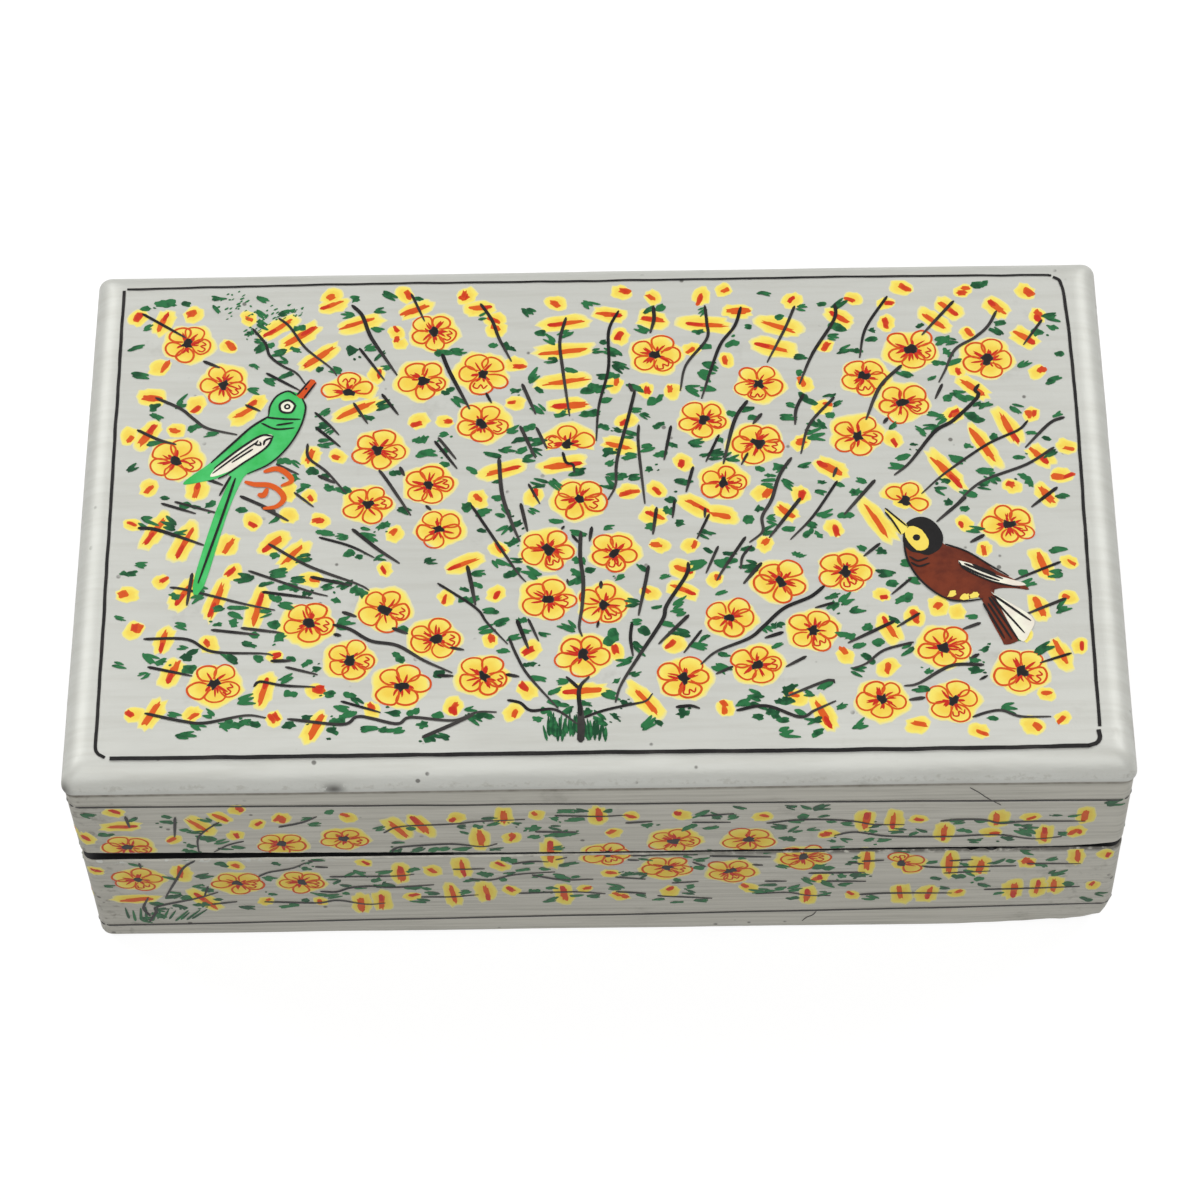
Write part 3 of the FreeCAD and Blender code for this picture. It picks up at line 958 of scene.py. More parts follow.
# Half flowers as place, facing in degrees and share of a flower's reach
LID_HALF_FLOWERS = ((-43.3, 24.7, 90, 1.0), (-5, 13.2, 90, 1.0), (52.7, 0.3, 62, 0.95))
LID_TWIGS = (
    (-80.3, 42.4, -76, 39.5, -72.3, 37), (-69, 31.9, -66, 30.4),
    (-77, 24.2, -72.5, 21.8, -70, 19.5, -67.5, 17.5, -62.3, 16.1),
    (-79.8, 17.4, -76, 15.3, -72.8, 14.2),
    (-60.6, 38.8, -58.2, 35.5, -57.3, 32.8, -55, 30.6, -52.5, 29, -50.8, 26.5),
    (-57.8, 29.1, -54.5, 27, -51.8, 25.3), (-56.1, 41, -54, 39, -51, 34.3, -46.5, 30, -45.4, 28.3),
    (-43.2, 43.6, -41.3, 41.3, -40, 37.5, -38.8, 35, -34.8, 28.2), (-41.6, 34.2, -39, 30.3, -37, 27.2),
    (-32.7, 45.9, -31.5, 43, -30.2, 39.8), (-37.4, 24.3, -34.4, 19.8), (-42.3, 22.5, -39.7, 18),
    (-49, 20.6, -46.5, 18, -44.6, 15.7), (-48.7, 17.4, -44.3, 13.2),
    (-50, 14, -49.7, 11, -46.5, 8, -43, 3.5), (-48, 7.3, -45, 5.7), (-55.3, 9.8, -51.3, 7.6),
    (-52, 3.9, -48.5, 0.8), (-61.3, 3.3, -55, 0), (-74.8, 2, -68.7, -0.2), (-72.5, 2.3, -64, -0.5),
    (-69, 7.8, -64.3, 5.6), (-61.2, 22.4, -58.5, 21), (-37.5, 8.3, -36, 6, -31.8, -1.2),
    (-33.9, 8.9, -33.1, 7), (-29.3, 0.8, -28.3, -0.2),
    (-20.4, 43.5, -18.3, 39.8, -17, 35.8, -14.8, 30.8), (-27, 32.7, -25.5, 28.5, -22, 20.8),
    (-19.2, 24.2, -18.2, 22), (-12.9, 26, -10.5, 19.5), (-13.2, 17.1, -10.5, 10.3),
    (-10.4, 16.8, -8.5, 12.2), (-5.2, 40.2, -6.3, 35, -5.8, 29, -4.6, 19),
    (4.1, 41.5, 2.3, 37, 2.2, 29, 0.5, 21, 0, 13.7), (10.2, 42.4, 10.3, 39.5, 9.6, 36.5),
    (5.8, 25.8, 6.3, 24.3, 7, 24.2), (6.8, 24.2, 5.7, 19, 3.6, 9.7, 3.3, 4.5, 2, 1.4),
    (7.4, 17, 7.3, 12.5, 8.3, 0.5), (13, 16.7, 11.7, 9.5),
    (19.3, 42.4, 19.6, 38.5, 19.5, 35, 15.8, 29.5, 14.7, 24),
    (25.7, 42, 24.5, 37.8, 22, 34, 20.3, 29, 18.4, 22.3), (26.4, 21.8, 24, 17.5, 21.9, 8.5),
    (28.8, 19, 27.2, 16.8), (21.3, 14.7, 18.9, 9), (26.2, 10.8, 25, 8.3), (16.7, 8.1, 15.4, 2.8),
    (-16.8, 10.5, -16.2, 3, -14.5, -3, -13.1, -6.8), (-27.4, 14.9, -24.2, 10.3), (-28, 14.2, -24, 8.3),
    (-11.7, 5, -9.7, 0.8), (-5.8, 11.5, -5.2, 9.3, -4, 8.8, -3.8, 7),
    (-21.5, 0.8, -17.3, -6.5, -13.5, -13, -12, -15), (-13, 1, -11.8, -4.8), (13.4, 1.2, 13, -2.5),
    (10.3, -0.2, 9.6, -5.8), (35.2, 42, 33.3, 37, 30, 29.8), (42.3, 42.3, 42, 38.8, 38, 31.5, 35.5, 25),
    (51.6, 43.8, 47.5, 36.8, 46.2, 30.5), (63.3, 42.6, 57.3, 35.2),
    (70.7, 40.3, 69, 37, 66.5, 34.5, 63, 32, 61, 27.5, 59.8, 25), (78.6, 38.2, 75, 32.8),
    (53.5, 28.8, 49.5, 24.2, 46.8, 17.3),
    (66.8, 24.5, 66, 23.2, 66.4, 21.8, 62, 17, 58.5, 14.5, 54, 8.3, 51.2, 5.7), (60.4, 24.7, 59, 21.5),
    (74.8, 16.7, 73, 14.7, 67.5, 11.8, 60, 6, 55.7, 1.8), (81.2, 17.3, 78.5, 16, 74, 11),
    (79, 11, 74, 7.5, 66, 4, 61, -1), (79, 2.7, 74.3, -1.3), (36.2, 23, 34.8, 19.8, 34.5, 16.5),
    (41.5, 22.2, 37, 16.5, 35.3, 10.4), (33.7, 9.7, 31.5, 6, 30, 1, 28.3, -2.5, 28.3, -5.5, 26, -7.7),
    (41.4, 7.5, 40.7, 5.5), (41.4, 4.7, 37, -2.5, 33, -7.2), (47.9, 4.8, 42.3, -2.3),
    (35, 1.3, 29.4, -6.8), (50.6, 17.7, 49.8, 16.5), (-78.5, -3, -75, -3.5, -67, -6.7),
    (-72.4, -15.1, -69, -15.8, -59.5, -18.7, -54.3, -20), (-68.7, -12.3, -69.3, -18.8),
    (-59.2, -12, -49, -16.2, -45.5, -17.3), (-56.7, -16.3, -48, -17.7), (-65, -23.7, -57, -24.8),
    (-60, -23.4, -53, -24.5), (-76.3, -25.3, -69, -25.5, -64.5, -28, -56, -28.5, -54.3, -29),
    (-54.7, -30, -51.2, -30), (-52.2, -31.2, -46.7, -32.8), (-75.3, -30.8, -67.7, -32.7),
    (-57.3, -35, -56.3, -34, -52.5, -34.8, -47, -35.2),
    (-75.3, -39.8, -68.5, -41.5, -65, -41.8, -58.5, -40.5, -55, -41),
    (-51.5, -41.3, -42.3, -42.5, -39.5, -41, -33.3, -42.5, -31, -41.3, -24, -42, -20, -40.5, -16.7, -40.5),
    (-42.7, -38, -36, -40.3), (-29, -45.2, -24.5, -43, -20.5, -41),
    (-44.5, -23, -41.5, -24, -38, -26.3, -33.5, -27.3, -29, -30.3, -24.2, -32.8),
    (-26.8, -33.3, -24, -33.4), (-44.3, -24.9, -43, -25.2), (-43, -20.5, -40.5, -21.5),
    (-34.5, -23.8, -31.8, -25), (-56, -6.6, -49, -11.2, -40.5, -15, -38.5, -16.3),
    (-48.6, -13.4, -41.5, -15.3), (-47.4, -5.4, -42, -7.3, -37.8, -9.7),
    (-41.8, -3.8, -37.5, -7.8, -33.5, -10.9), (-57.5, 1, -52.7, -2),
    (-2.7, -5, -2.8, -10, -2.3, -15, -2.5, -20, -3, -24, -2.5, -26), (-4.2, -5.7, -3, -7.3),
    (-0.8, -4, -1.2, -7), (-5.5, -3.8, -6, -4.5), (-5, -14.5, -4.9, -15.5), (0.7, -15, 0.7, -16.5),
    (0.3, -23, 0, -24.3), (8.8, -12, 8.3, -15, 7, -22),
    (15.5, -11.5, 15.2, -14, 11.8, -20, 11, -23, 7, -30, 4, -35.5, 3, -39), (20.7, -8.3, 18.5, -13.8),
    (25.4, -6.5, 21.5, -13, 20.3, -15.3), (26.4, -8.3, 24.8, -10.5, 24.4, -13), (28, -11.8, 24.8, -16),
    (18.6, -0.5, 18.5, -2.5), (19.3, -1.7, 17.1, -6.8), (15.5, -22, 10.3, -27.7),
    (17.6, -25, 14.5, -29.5),
    (38.5, -16.6, 36, -18.8, 31.5, -21, 28, -24.5, 25.5, -26.8, 20, -29.3, 17.3, -31.8),
    (22.7, -32.3, 19.8, -33.7), (5.9, -23.3, 5.6, -26.5, 6, -30),
    (-22, -11.5, -21.3, -15, -20.5, -19.5), (-27, -15, -20.5, -20, -18.5, -23, -15, -27.3),
    (-14.8, -26, -13.5, -29.5, -11.5, -33.5, -6.5, -40), (-13.5, -22.5, -11.5, -28.3),
    (-11.6, -22.3, -9.8, -26.8), (-24.7, -27.8, -22.3, -28.3), (-15.3, -33.2, -13, -33.7),
    (-15, -38.2, -12.8, -38.8, -11, -40.3, -7, -40.2, -3.3, -43), (-3, -36.2, -5.2, -33.8),
    (-2.3, -41.8, 1, -40.5, 5, -39.5, 8, -38.8, 9.2, -37.3), (13, -40, 15.5, -39.8, 17, -40.3),
    (23, -40.8, 28, -40, 33.5, -42.2, 36, -41, 39.6, -39.2), (53.2, -15.3, 49.7, -18.5),
    (48.2, -8.2, 45.3, -10.8), (40, -20, 36.7, -21), (31.3, -25.7, 28.1, -26.8),
    (35, -30.5, 31.5, -32.5), (54.3, -22.3, 50.3, -25), (50, -23.8, 42, -28),
    (53, -28, 48, -29.5, 45, -32, 42.5, -33), (39.5, -35.8, 38.5, -35.2, 31.3, -38.3),
    (64.5, -32.6, 59, -32.7, 53.5, -36, 51, -36.5), (63.8, -30.5, 62.3, -31.3),
    (64.4, -24.4, 61.3, -25.6), (54.4, -38.8, 51.7, -39.2),
    (62, -42.7, 64.5, -41.8, 67, -41.5, 70, -42.7, 75, -42.8), (65, -34.7, 63.6, -35.5),
    (79.2, -30.6, 73.8, -32.4), (79, -19.8, 71.7, -23), (78.6, -12.5, 70.5, -16),
    (66, -6.8, 63.5, -8.3), (63.3, 1, 58, -4))
# Clumps of grass at the trunk's foot, as foot, width and height
LID_TUFT = ((-7.0, -45.6, 2.7, 4.5), (-4.4, -44.8, 2.0, 4.0), (-0.9, -45.6, 2.3, 4.2),
    (1.3, -45.8, 0.2, 2.9))
LID_TUFT_LEAN = (-0.12, 0.06)
LID_TRUNK = (-2.8, -46.5, -2.7, -43, -2.9, -39)
LID_FORK = (-2.8, -41.5, -3, -36.3, -1.3, -33.8)
LID_BARS = (
    (-76.5, 40.3, 65, 6), (-77.8, 16.3, 60, 7), (-56, 39, 32, 8.5), (-52.3, 36.7, 38, 9.5),
    (-48.5, 32.5, 38, 9), (-41.5, 39.5, 17, 9), (-41.5, 21, 25, 10), (-31.7, 42.5, 25, 7),
    (-46.5, 43.5, 20, 6), (-77.5, 24.3, -5, 5.5), (-49.3, 11.2, 70, 4.5), (-61.5, 20.3, 35, 6),
    (-68.8, 4.8, 80, 5), (-20.5, 42.4, 5, 6), (-5.5, 39, 5, 9.5), (-5.5, 33, 5, 11.5),
    (-5.5, 26.5, 5, 11), (-5, 21.3, 3, 8.5), (2.5, 40.7, -8, 6.5), (10, 39.5, -12, 6),
    (19.3, 38.3, -8, 10), (25, 41, -5, 5.5), (4, 12.8, -15, 6.5), (-5.8, 9, 8, 9), (-16, 8, 15, 9),
    (17, 0, -35, 7), (21.5, -2, -18, 6), (32.3, 37.7, -18, 9.5), (31.5, 33, -17, 9), (43, 39.3, -40, 6),
    (59.8, 38.3, -42, 7.5), (62.3, 41, -40, 6), (70.8, 41, -45, 5.5), (75.3, 34.3, -42, 6),
    (65.7, 23.8, -40, 7), (71.3, 15.7, -62, 9.5), (67, 11.5, -62, 10.5), (60.2, 6.5, -55, 11),
    (76.5, 9.3, -48, 6), (77, 1, -60, 6), (40.5, 7.3, -32, 7), (-75.5, -3.5, 62, 9), (-70.5, -6, 70, 9),
    (-63, -6.8, 65, 5), (-55, -6.3, 40, 6.5), (-51.5, -9, 50, 7.5), (-70, -16.5, 60, 8.5),
    (-64.3, -17.5, 70, 10), (-57.3, -19.3, 75, 9), (-72.8, -25.5, 78, 6), (-71.2, -32, 70, 6.5),
    (-55.6, -35.5, 78, 7.5), (-74, -40, 60, 7), (-47, -43, 65, 7.5), (-2.5, -36.7, 3, 9),
    (8, -38.5, -50, 9), (9.8, -2, -22, 5), (14.5, -13, -22, 5), (14.5, -17, -25, 6.5),
    (-22.5, -11, 25, 8), (48, -3.5, -58, 10.5), (49, -25.3, -65, 7), (74.3, -21.5, -68, 6),
    (77.3, -30.8, -65, 7), (37.5, -41.5, -65, 8), (75.3, -12.8, -70, 7.5), (32.5, -1.5, -40, 5))
LID_BUDS = (
    (-80.8, 41.5), (-71.2, 42), (-64.8, 35), (-76.5, 30.6), (-69.8, 22.6), (-73, 17.2), (-81.2, 16.2),
    (-77, 5.2), (-61.3, 41), (-59.2, 22.8), (-46.8, 45.5), (-35, 37.3), (-34.5, 35.3), (-33.8, 45.7),
    (-38.5, 28.3), (-30.8, 18.5), (-44.7, 11.3), (-49.2, 3), (-22.8, 45.2), (-17.7, 40), (-17.5, 37.8),
    (-7, 43.3), (4.6, 45.5), (10.2, 44.3), (18.8, 44.5), (22.7, 45.7), (4.3, 36), (16.8, 33),
    (22.8, 30.5), (-14.2, 30.3), (3.3, 25.5), (8.7, 24.3), (13.3, 24), (-14, 22), (-26.3, 18.3),
    (5.3, 17.8), (15, 9), (5.5, 3), (10.4, 3.5), (-20.3, 2), (-10.8, 2.3), (28.4, 2.5), (34.8, 43.2),
    (45.5, 43.3), (54.2, 45.6), (51.2, 42.3), (51.2, 38), (76, 44.5), (77.8, 39), (65.3, 35.5),
    (40.3, 33.2), (63, 27.7), (77, 27), (36.5, 25), (62, 18.2), (39.3, 20.2), (75.5, 18), (35.3, 12.7),
    (51.3, 13.3), (81, 11.2), (79.7, 5.2), (71.3, 3), (35, 2), (65, 44.8), (-79.5, -2.3), (-59, -2),
    (-47.3, -2), (-61.7, -12.2), (-74, -14), (-48.5, -13.8), (-36, -12), (-34.5, -5), (-79.5, -16.5),
    (-78, -23.5), (-65.2, -26.5), (-54, -29), (-47, -36), (-67.3, -40), (-77, -40), (-53.7, -41.2),
    (-37.5, -39.8), (-16.7, -8.3), (-17, -17.3), (-25.5, -18), (-18, -26.5), (-11, -28.4), (-24, -39.3),
    (-11.7, -36.3), (-14, -40.5), (10.8, -8), (16, -8), (20, -15), (9, -17.5), (13, -27.7), (3.2, -29),
    (21.3, -40.2), (28.7, -8), (40.5, -5), (48, -18.5), (53.3, -23), (41.5, -30.5), (48.5, -32.8),
    (57.5, -21), (62.7, -4.5), (65.8, -9.7), (80, -12.5), (79.5, -19.7), (71.5, -26.5), (80.7, -29.2),
    (74.5, -38.5), (77, -43), (63, -45.3), (53, -44), (71.8, -44.5), (33, -38.5))
# Plain yellow blots under the birds, as place, width and height
LID_BLOTS = ((-53, 4, 2.9, 4.6), (-52.7, -0.8, 3.4, 3.6), (57.5, -20.5, 3.6, 2.8), (60.5, -22.2, 3.0, 3.4))
# Flecks of a dry green brush, as middle and reach
LID_FLECKS = ((-63.5, 43.6, 3.4), (-58.5, 41.5, 2.6), (-60.5, 38.2, 2.0), (-53.5, 42.5, 2.2))
# Loose leaves lie between these corners
LID_FIELD = ((-81.5, -45.5), (81.5, 46))
LID_REACH = 4.55


def clear(spot, taken, room):
    """Whether the spot keeps its room from all that is taken."""
    return all((spot - other).length > far + room for other, far in taken)


def spots_of(flat):
    """Spots from x and y by turns."""
    return [Vector(pair) for pair in zip(flat[::2], flat[1::2])]


# Room that marks take, and the least gap round a leaf
BAR_ROOM = 1.3
BUD_ROOM = 1.6
LEAF_ROOM = 1.15
LEAF_GAP = 0.5
# A flower's turn and size vary; a half flower's first petal is so many degrees from its facing
FLOWER_TURN = math.radians(60)
FLOWER_TURNS = (-0.35, 0.35)
FLOWER_SIZES = (0.94, 1.06)
HALF_FLOWER_TURN = 72
BUD_SIZES = (1.2, 1.65)


class Spray:
    """The painting of one side, and the room that its marks take."""

    def __init__(self, kit, sheet, reach, seed):
        self.kit = kit
        self.sheet = sheet
        self.reach = reach
        self.rng = random.Random(seed)
        self.taken = []

    def flowers(self, spots):
        """Whole flowers, each turned and sized a little differently."""
        for spot in map(Vector, spots):
            turn = FLOWER_TURN + self.rng.uniform(*FLOWER_TURNS)
            reach = self.reach * self.rng.uniform(*FLOWER_SIZES)
            flower(self.kit, self.sheet, spot, reach, turn, self.rng)
            self.taken.append((spot, self.reach))

    def half_flowers(self, spots):
        """Flowers seen from the side, of three petals."""
        for x, y, facing, share in spots:
            spot = Vector((x, y))
            turn = math.radians(facing - HALF_FLOWER_TURN)
            flower(self.kit, self.sheet, spot, self.reach * share, turn, self.rng, range(3))
            self.taken.append((spot, self.reach))

    def bars(self, places):
        """Bars, which keep leaves off all along."""
        for x, y, slant, long in places:
            spot = Vector((x, y))
            facing = math.radians(slant)
            bar(self.kit, self.sheet, spot, facing, long, self.rng)
            self.taken += [(turned(spot, facing, share * long), BAR_ROOM) for share in (-0.3, 0.0, 0.3)]

    def buds(self, spots):
        """Buds, turned any way."""
        for spot in map(Vector, spots):
            size = self.rng.uniform(*BUD_SIZES)
            bud(self.kit, self.sheet, spot, size, self.rng.uniform(0, math.pi), self.rng)
            self.taken.append((spot, BUD_ROOM))

    def twigs(self, lines, width):
        """Twigs, which keep no room."""
        for line in lines:
            twig(self.kit, self.sheet, spots_of(line), self.rng, width)

    def leaf_if_clear(self, spot, facing, sizes):
        """A leaf, unless another mark takes the room."""
        if clear(spot, self.taken, LEAF_GAP):
            leaf(self.kit, self.sheet, spot, self.rng.uniform(*sizes), facing, self.rng)
            self.taken.append((spot, LEAF_ROOM))

    def leaves(self, lines, gaps, sizes):
        """Leaves beside the twigs, now on one side and now on the other."""
        step = 0.5
        for line in lines:
            path = curve(spots_of(line), step)
            at = self.rng.uniform(0, gaps[0])
            while at < step * (len(path) - 1):
                here = int(at / step)
                along = path[here + 1] - path[here]
                facing = math.atan2(along.y, along.x)
                aside = self.rng.choice((-1, 1)) * self.rng.uniform(0.6, 1.9)
                lean = self.rng.choice((0, math.pi)) + self.rng.uniform(-0.6, 0.6)
                self.leaf_if_clear(turned(path[here], facing, 0.0, aside), lean, sizes)
                at += self.rng.uniform(*gaps)

    def loose_leaves(self, count, low, high, sizes):
        """Leaves strewn between two corners where there is room."""
        for _ in range(count):
            spot = Vector((self.rng.uniform(low[0], high[0]), self.rng.uniform(low[1], high[1])))
            self.leaf_if_clear(spot, self.rng.uniform(-0.7, 0.7), sizes)


# Sizes of the lid's leaves, the gaps between those beside a twig, and how many more are tried in between
LID_LEAVES = (0.72, 1.2)
LID_LEAF_GAPS = (1.7, 3.3)
LID_LOOSE_LEAVES = 420
# Widths of the lid's stems
LID_TWIG = 0.57
TRUNK_WIDTH = 1.0
FORK_WIDTH = 0.6
# Flecks for each millimetre of reach
FLECK_COUNT = 9


def paint_lid(kit):
    """The spray that fans from a tuft at the front, inside a single dark border line."""
    spray = Spray(kit, top_sheet, LID_REACH, 11)
    spray.taken += [(Vector(spot), far) for spot, far in BIRD_ROOM]
    spray.flowers(LID_FLOWERS)
    spray.half_flowers(LID_HALF_FLOWERS)
    spray.bars(LID_BARS)
    spray.buds(LID_BUDS)
    for x, y, wide, high in LID_BLOTS:
        spot = Vector((x, y))
        kit.yellow.patch(top_sheet, spot, dab(spot, 0.0, wide, high, spray.rng), DAB_TINTS)
    spray.twigs(LID_TWIGS, LID_TWIG)
    spray.twigs((LID_TRUNK,), TRUNK_WIDTH)
    spray.twigs((LID_FORK,), FORK_WIDTH)
    spray.leaves(LID_TWIGS, LID_LEAF_GAPS, LID_LEAVES)
    spray.loose_leaves(LID_LOOSE_LEAVES, *LID_FIELD, LID_LEAVES)
    rng = spray.rng
    for x, y, far in LID_FLECKS:
        for _ in range(round(FLECK_COUNT * far)):
            fleck = turned(Vector((x, y)), rng.uniform(0, 2 * math.pi), far * rng.random())
            outline = dab(fleck, 0.6, rng.uniform(0.3, 0.9), rng.uniform(0.2, 0.4), rng, 2.0, 0.15, 7)
            kit.leaf.patch(top_sheet, fleck, outline, (0.9, 0.9, 0.9, 1.0))
    for x, y, wide, high in LID_TUFT:
        blades = round(4 * wide) + 2
        tuft(kit, top_sheet, Vector((x, y)), wide, high, LID_TUFT_LEAN, blades, rng)
    border(kit)


# How blades of grass vary in foot, lean and height, and their width
BLADE_FOOT = (-0.7, 0.7)
BLADE_LEAN = (-0.12, 0.12)
BLADE_HEIGHT = (0.65, 1.0)
BLADE_WIDTH = 0.5


def tuft(kit, sheet, foot, wide, high, leans, count, rng):
    """Blades of grass from round a foot; their lean runs from the left blade's to the right blade's."""
    for at in range(count):
        share = at / (count - 1)
        start = foot + Vector((wide * (share - 0.5), rng.uniform(*BLADE_FOOT)))
        lean = leans[0] + (leans[1] - leans[0]) * share + rng.uniform(*BLADE_LEAN)
        tip = start + Vector((math.sin(lean), math.cos(lean))) * high * rng.uniform(*BLADE_HEIGHT)
        shade = rng.uniform(0.0, 0.5)
        blade = curve((start, (start + tip) / 2, tip))
        kit.leaf.ribbon(sheet, blade, brushed(BLADE_WIDTH, 0.1, 0.6), steady(shade))


# The lid's border in four strokes, with a break where they meet: x and y by turns, and width
BORDER = (
    ((-83.3, 47.8, -40, 48.2, 0, 48.1, 40, 48.2, 76, 48, 80.9, 47.9), 0.42),
    ((81.1, 47.5, 82, 47, 82.35, 46, 82.9, 42, 83.3, 26, 83.3, 10, 83, -20, 82.9, -40, 82.9, -44.8),
      0.56),
    ((82.6, -45.4, 82.7, -47.2, 81.2, -48.3, 76, -48.5, 40, -48.6, 0, -48.5, -40, -48.5, -80.6,
      -48.4), 0.76),
    ((-83.8, 47.5, -83.6, 20, -83.3, -15, -83.1, -40, -83.1, -44, -82.9, -47, -81.4, -48.2), 0.56))
# How far the strokes stray
BORDER_WOBBLE = 0.12


def border(kit):
    """Dark line round the lid's flat face."""
    for number, (knots, width) in enumerate(BORDER):
        path = []
        for at, spot in enumerate(curve(spots_of(knots), 0.6)):
            shift = Vector([noise.noise(Vector((at / 9, number, seed))) for seed in (0, 7)])
            path.append(spot + shift * BORDER_WOBBLE)
        kit.line.ribbon(
            top_sheet, path,
            lambda share: width * (1 + 0.15 * noise.noise(Vector((share * 30, number, 0)))),
            lambda share: 0.1 + 0.2 * noise.noise(Vector((share * 25, number, 5))))


# Bands round the walls. The front's places are read off the photo, in the same way as the lid's
FRONT_FLOWERS = (
    (-80, 33.5), (-54, 34), (-43.3, 35.5), (-79.8, 21.8), (-62.7, 20.2), (-51.8, 20.2), (1, 29),
    (12.5, 33.3), (25.2, 33.4), (11.2, 24), (22, 22.3), (34.6, 27))
FRONT_HALF_FLOWERS = ((51.3, 24.3, 25, 0.95),)
FRONT_TWIGS = (
    (-79.3, 44.3, -79, 40.5), (-71, 43.8, -71.8, 37), (-63.8, 42, -66.5, 39, -68, 36, -68.3, 31),
    (-69.3, 28.5, -71.5, 26, -73.3, 21.5, -75.8, 15.2), (-60.3, 35.2, -63, 34, -65.7, 31.5),
    (-54, 40, -50, 41.5, -47.3, 43.5), (-36.5, 37.5, -33.5, 39.7, -25, 40.3, -20, 41.1, -12.5, 41.5),
    (-35.5, 30.8, -34.5, 32.2, -30, 33, -25, 33.3, -20, 32.3, -17.5, 33.2), (-78.9, 27.8, -78.8, 26),
    (-59, 22.5, -57, 24, -53, 25.3, -50.5, 27.2), (-50, 27.9, -47.5, 27.8), (-49, 25.7, -46.8, 25.5),
    (-46.8, 22.1, -36, 22.1, -32.2, 22.6),
    (-48.8, 16.8, -46, 16.6, -43.5, 18, -40, 18.5, -36, 18, -29, 18.7),
    (-79.5, 6.5, -78, 10, -77.5, 12, -71, 14.6, -66.5, 17), (-68, 19.2, -69, 15.5),
    (-79.2, 8.5, -80, 11.5, -78.8, 15.3), (-68, 12.7, -63.5, 13.5),
    (-58.8, 13.3, -50, 12.6, -46, 13.4, -41, 11.9, -37.8, 12.3), (-31.5, 14.3, -26, 14.3, -21.5, 14.9),
    (-14.5, 15.2, -5, 15.5, 0.5, 14.6), (-7.5, 42.7, 0, 42.3, 4.3, 42.6), (4.3, 39.9, 8.8, 40.3),
    (-11, 37.2, -3.8, 36.9), (-15.3, 25.9, -12, 26.7, -9, 26.5), (-7.8, 27.2, -5.8, 28),
    (-25.5, 24.3, -20, 24.3), (-22.8, 20.7, -19, 20.3, -15, 22, -8, 22.8),
    (-12, 21.8, -7, 20, -1.5, 20), (2.3, 20.7, 7.5, 19.8), (5, 28.3, 11, 28.5, 16.5, 28.3),
    (18.5, 27.8, 29, 27.2), (4.5, 26.8, 6.5, 26.6), (15.6, 25.7, 17.8, 24.1), (25.8, 24.5, 27.6, 24.2),
    (2.3, 15.4, 7.5, 14.6), (9.5, 13.7, 19, 12.5), (12, 18.3, 16.6, 18.7),
    (26.5, 14, 32, 14.3, 35.5, 13.2, 39.5, 12.9), (16.8, 41.8, 22.5, 42.5), (15.5, 39.7, 22, 39.5),
    (28, 39, 33, 40, 38, 40, 43, 39.2, 46, 38.1, 51.2, 37.9),
    (57.2, 38.9, 60, 39.4, 64.5, 39.2, 67.5, 37.9, 71.5, 38.5, 81.5, 38.4),
    (39.5, 34.4, 43, 35.5, 49, 33.9, 59, 33.6, 67, 34, 73, 32.5, 78, 33.1), (42.2, 25, 45, 24.3),
    (44.5, 25.3, 48.3, 25.5), (35.5, 21.2, 45.2, 21.3), (38.5, 18.3, 45.5, 18),
    (54.8, 23.3, 58, 22.7, 71, 22.9), (59.5, 25, 63.5, 25.3), (58.7, 20.6, 66.7, 21.1),
    (72.8, 23.7, 82, 23.4), (28, 18.5, 31.8, 18.4), (44.5, 13.2, 50, 13.6, 60.5, 13.3),
    (66, 14.4, 82.5, 15))
FRONT_BARS = (
    (-80.5, 40.8, 5, 7.5), (-67, 40.5, -60, 8), (-63.5, 43.5, -50, 5), (-72, 24, 90, 6),
    (-81, 14.8, 3, 9), (-69, 14.2, -60, 9), (-34, 39, -65, 9), (-30, 40, -65, 9), (-34.5, 23, 90, 8),
    (-41.8, 12.3, 90, 7.5), (-38.3, 13, 90, 8), (-16, 42.7, 90, 6.5), (-20.5, 35, 90, 8),
    (-8.5, 29.5, 90, 11), (-24, 25, 95, 8.5), (-26, 15, 95, 9), (-20.3, 16, 92, 8), (-6.7, 14.8, 95, 8),
    (-0.3, 42.6, 90, 6.5), (44.5, 39.5, 90, 8), (49.5, 39.5, 90, 7.5), (66.8, 39.5, 90, 6.5),
    (81.5, 40.2, 92, 6), (58, 35, 90, 7.5), (75, 34, 90, 7), (45.3, 25.3, 90, 10), (59.7, 24, 90, 10.5),
    (64.7, 23, 92, 7.5), (81, 26, 92, 6), (35.7, 13.2, 90, 7), (51.7, 13.3, 92, 8),
    (56.2, 13.2, 85, 6.5), (71, 14.5, 90, 8), (75.3, 14.8, 90, 7.5), (78.2, 15.8, 92, 7))
FRONT_BUDS = (
    (-81, 45.5), (-86.8, 36.8), (-72, 36), (-61.5, 37.3), (-60.5, 46), (-57.5, 41), (-53.3, 43),
    (-42, 43), (-86.8, 25.2), (-62.5, 26.5), (-40.5, 27), (-58.5, 13.5), (-49, 13.2), (-33, 14.5),
    (-29, 23.8), (-24, 42.3), (-10.5, 43), (-15, 35.2), (-17.3, 25.3), (-15.8, 16.3), (5.3, 42.3),
    (13.8, 42.3), (2.3, 36.5), (27.3, 41.3), (1.5, 22), (-3, 16.5), (3, 13.8), (11.7, 15.3),
    (25.3, 16.2), (53.5, 39.7), (72.3, 40), (38.5, 35), (66, 34.8), (80.3, 34.8), (37.5, 19.5),
    (43.3, 13), (61.3, 13.3), (72.8, 24), (86, 26.5), (84.8, 15.3))
BACK_FLOWERS = (
    (-74, 24), (-60, 33), (-36, 27), (-24, 35), (-13, 21), (8, 33), (30, 24), (44, 34), (55, 20),
    (78, 29))
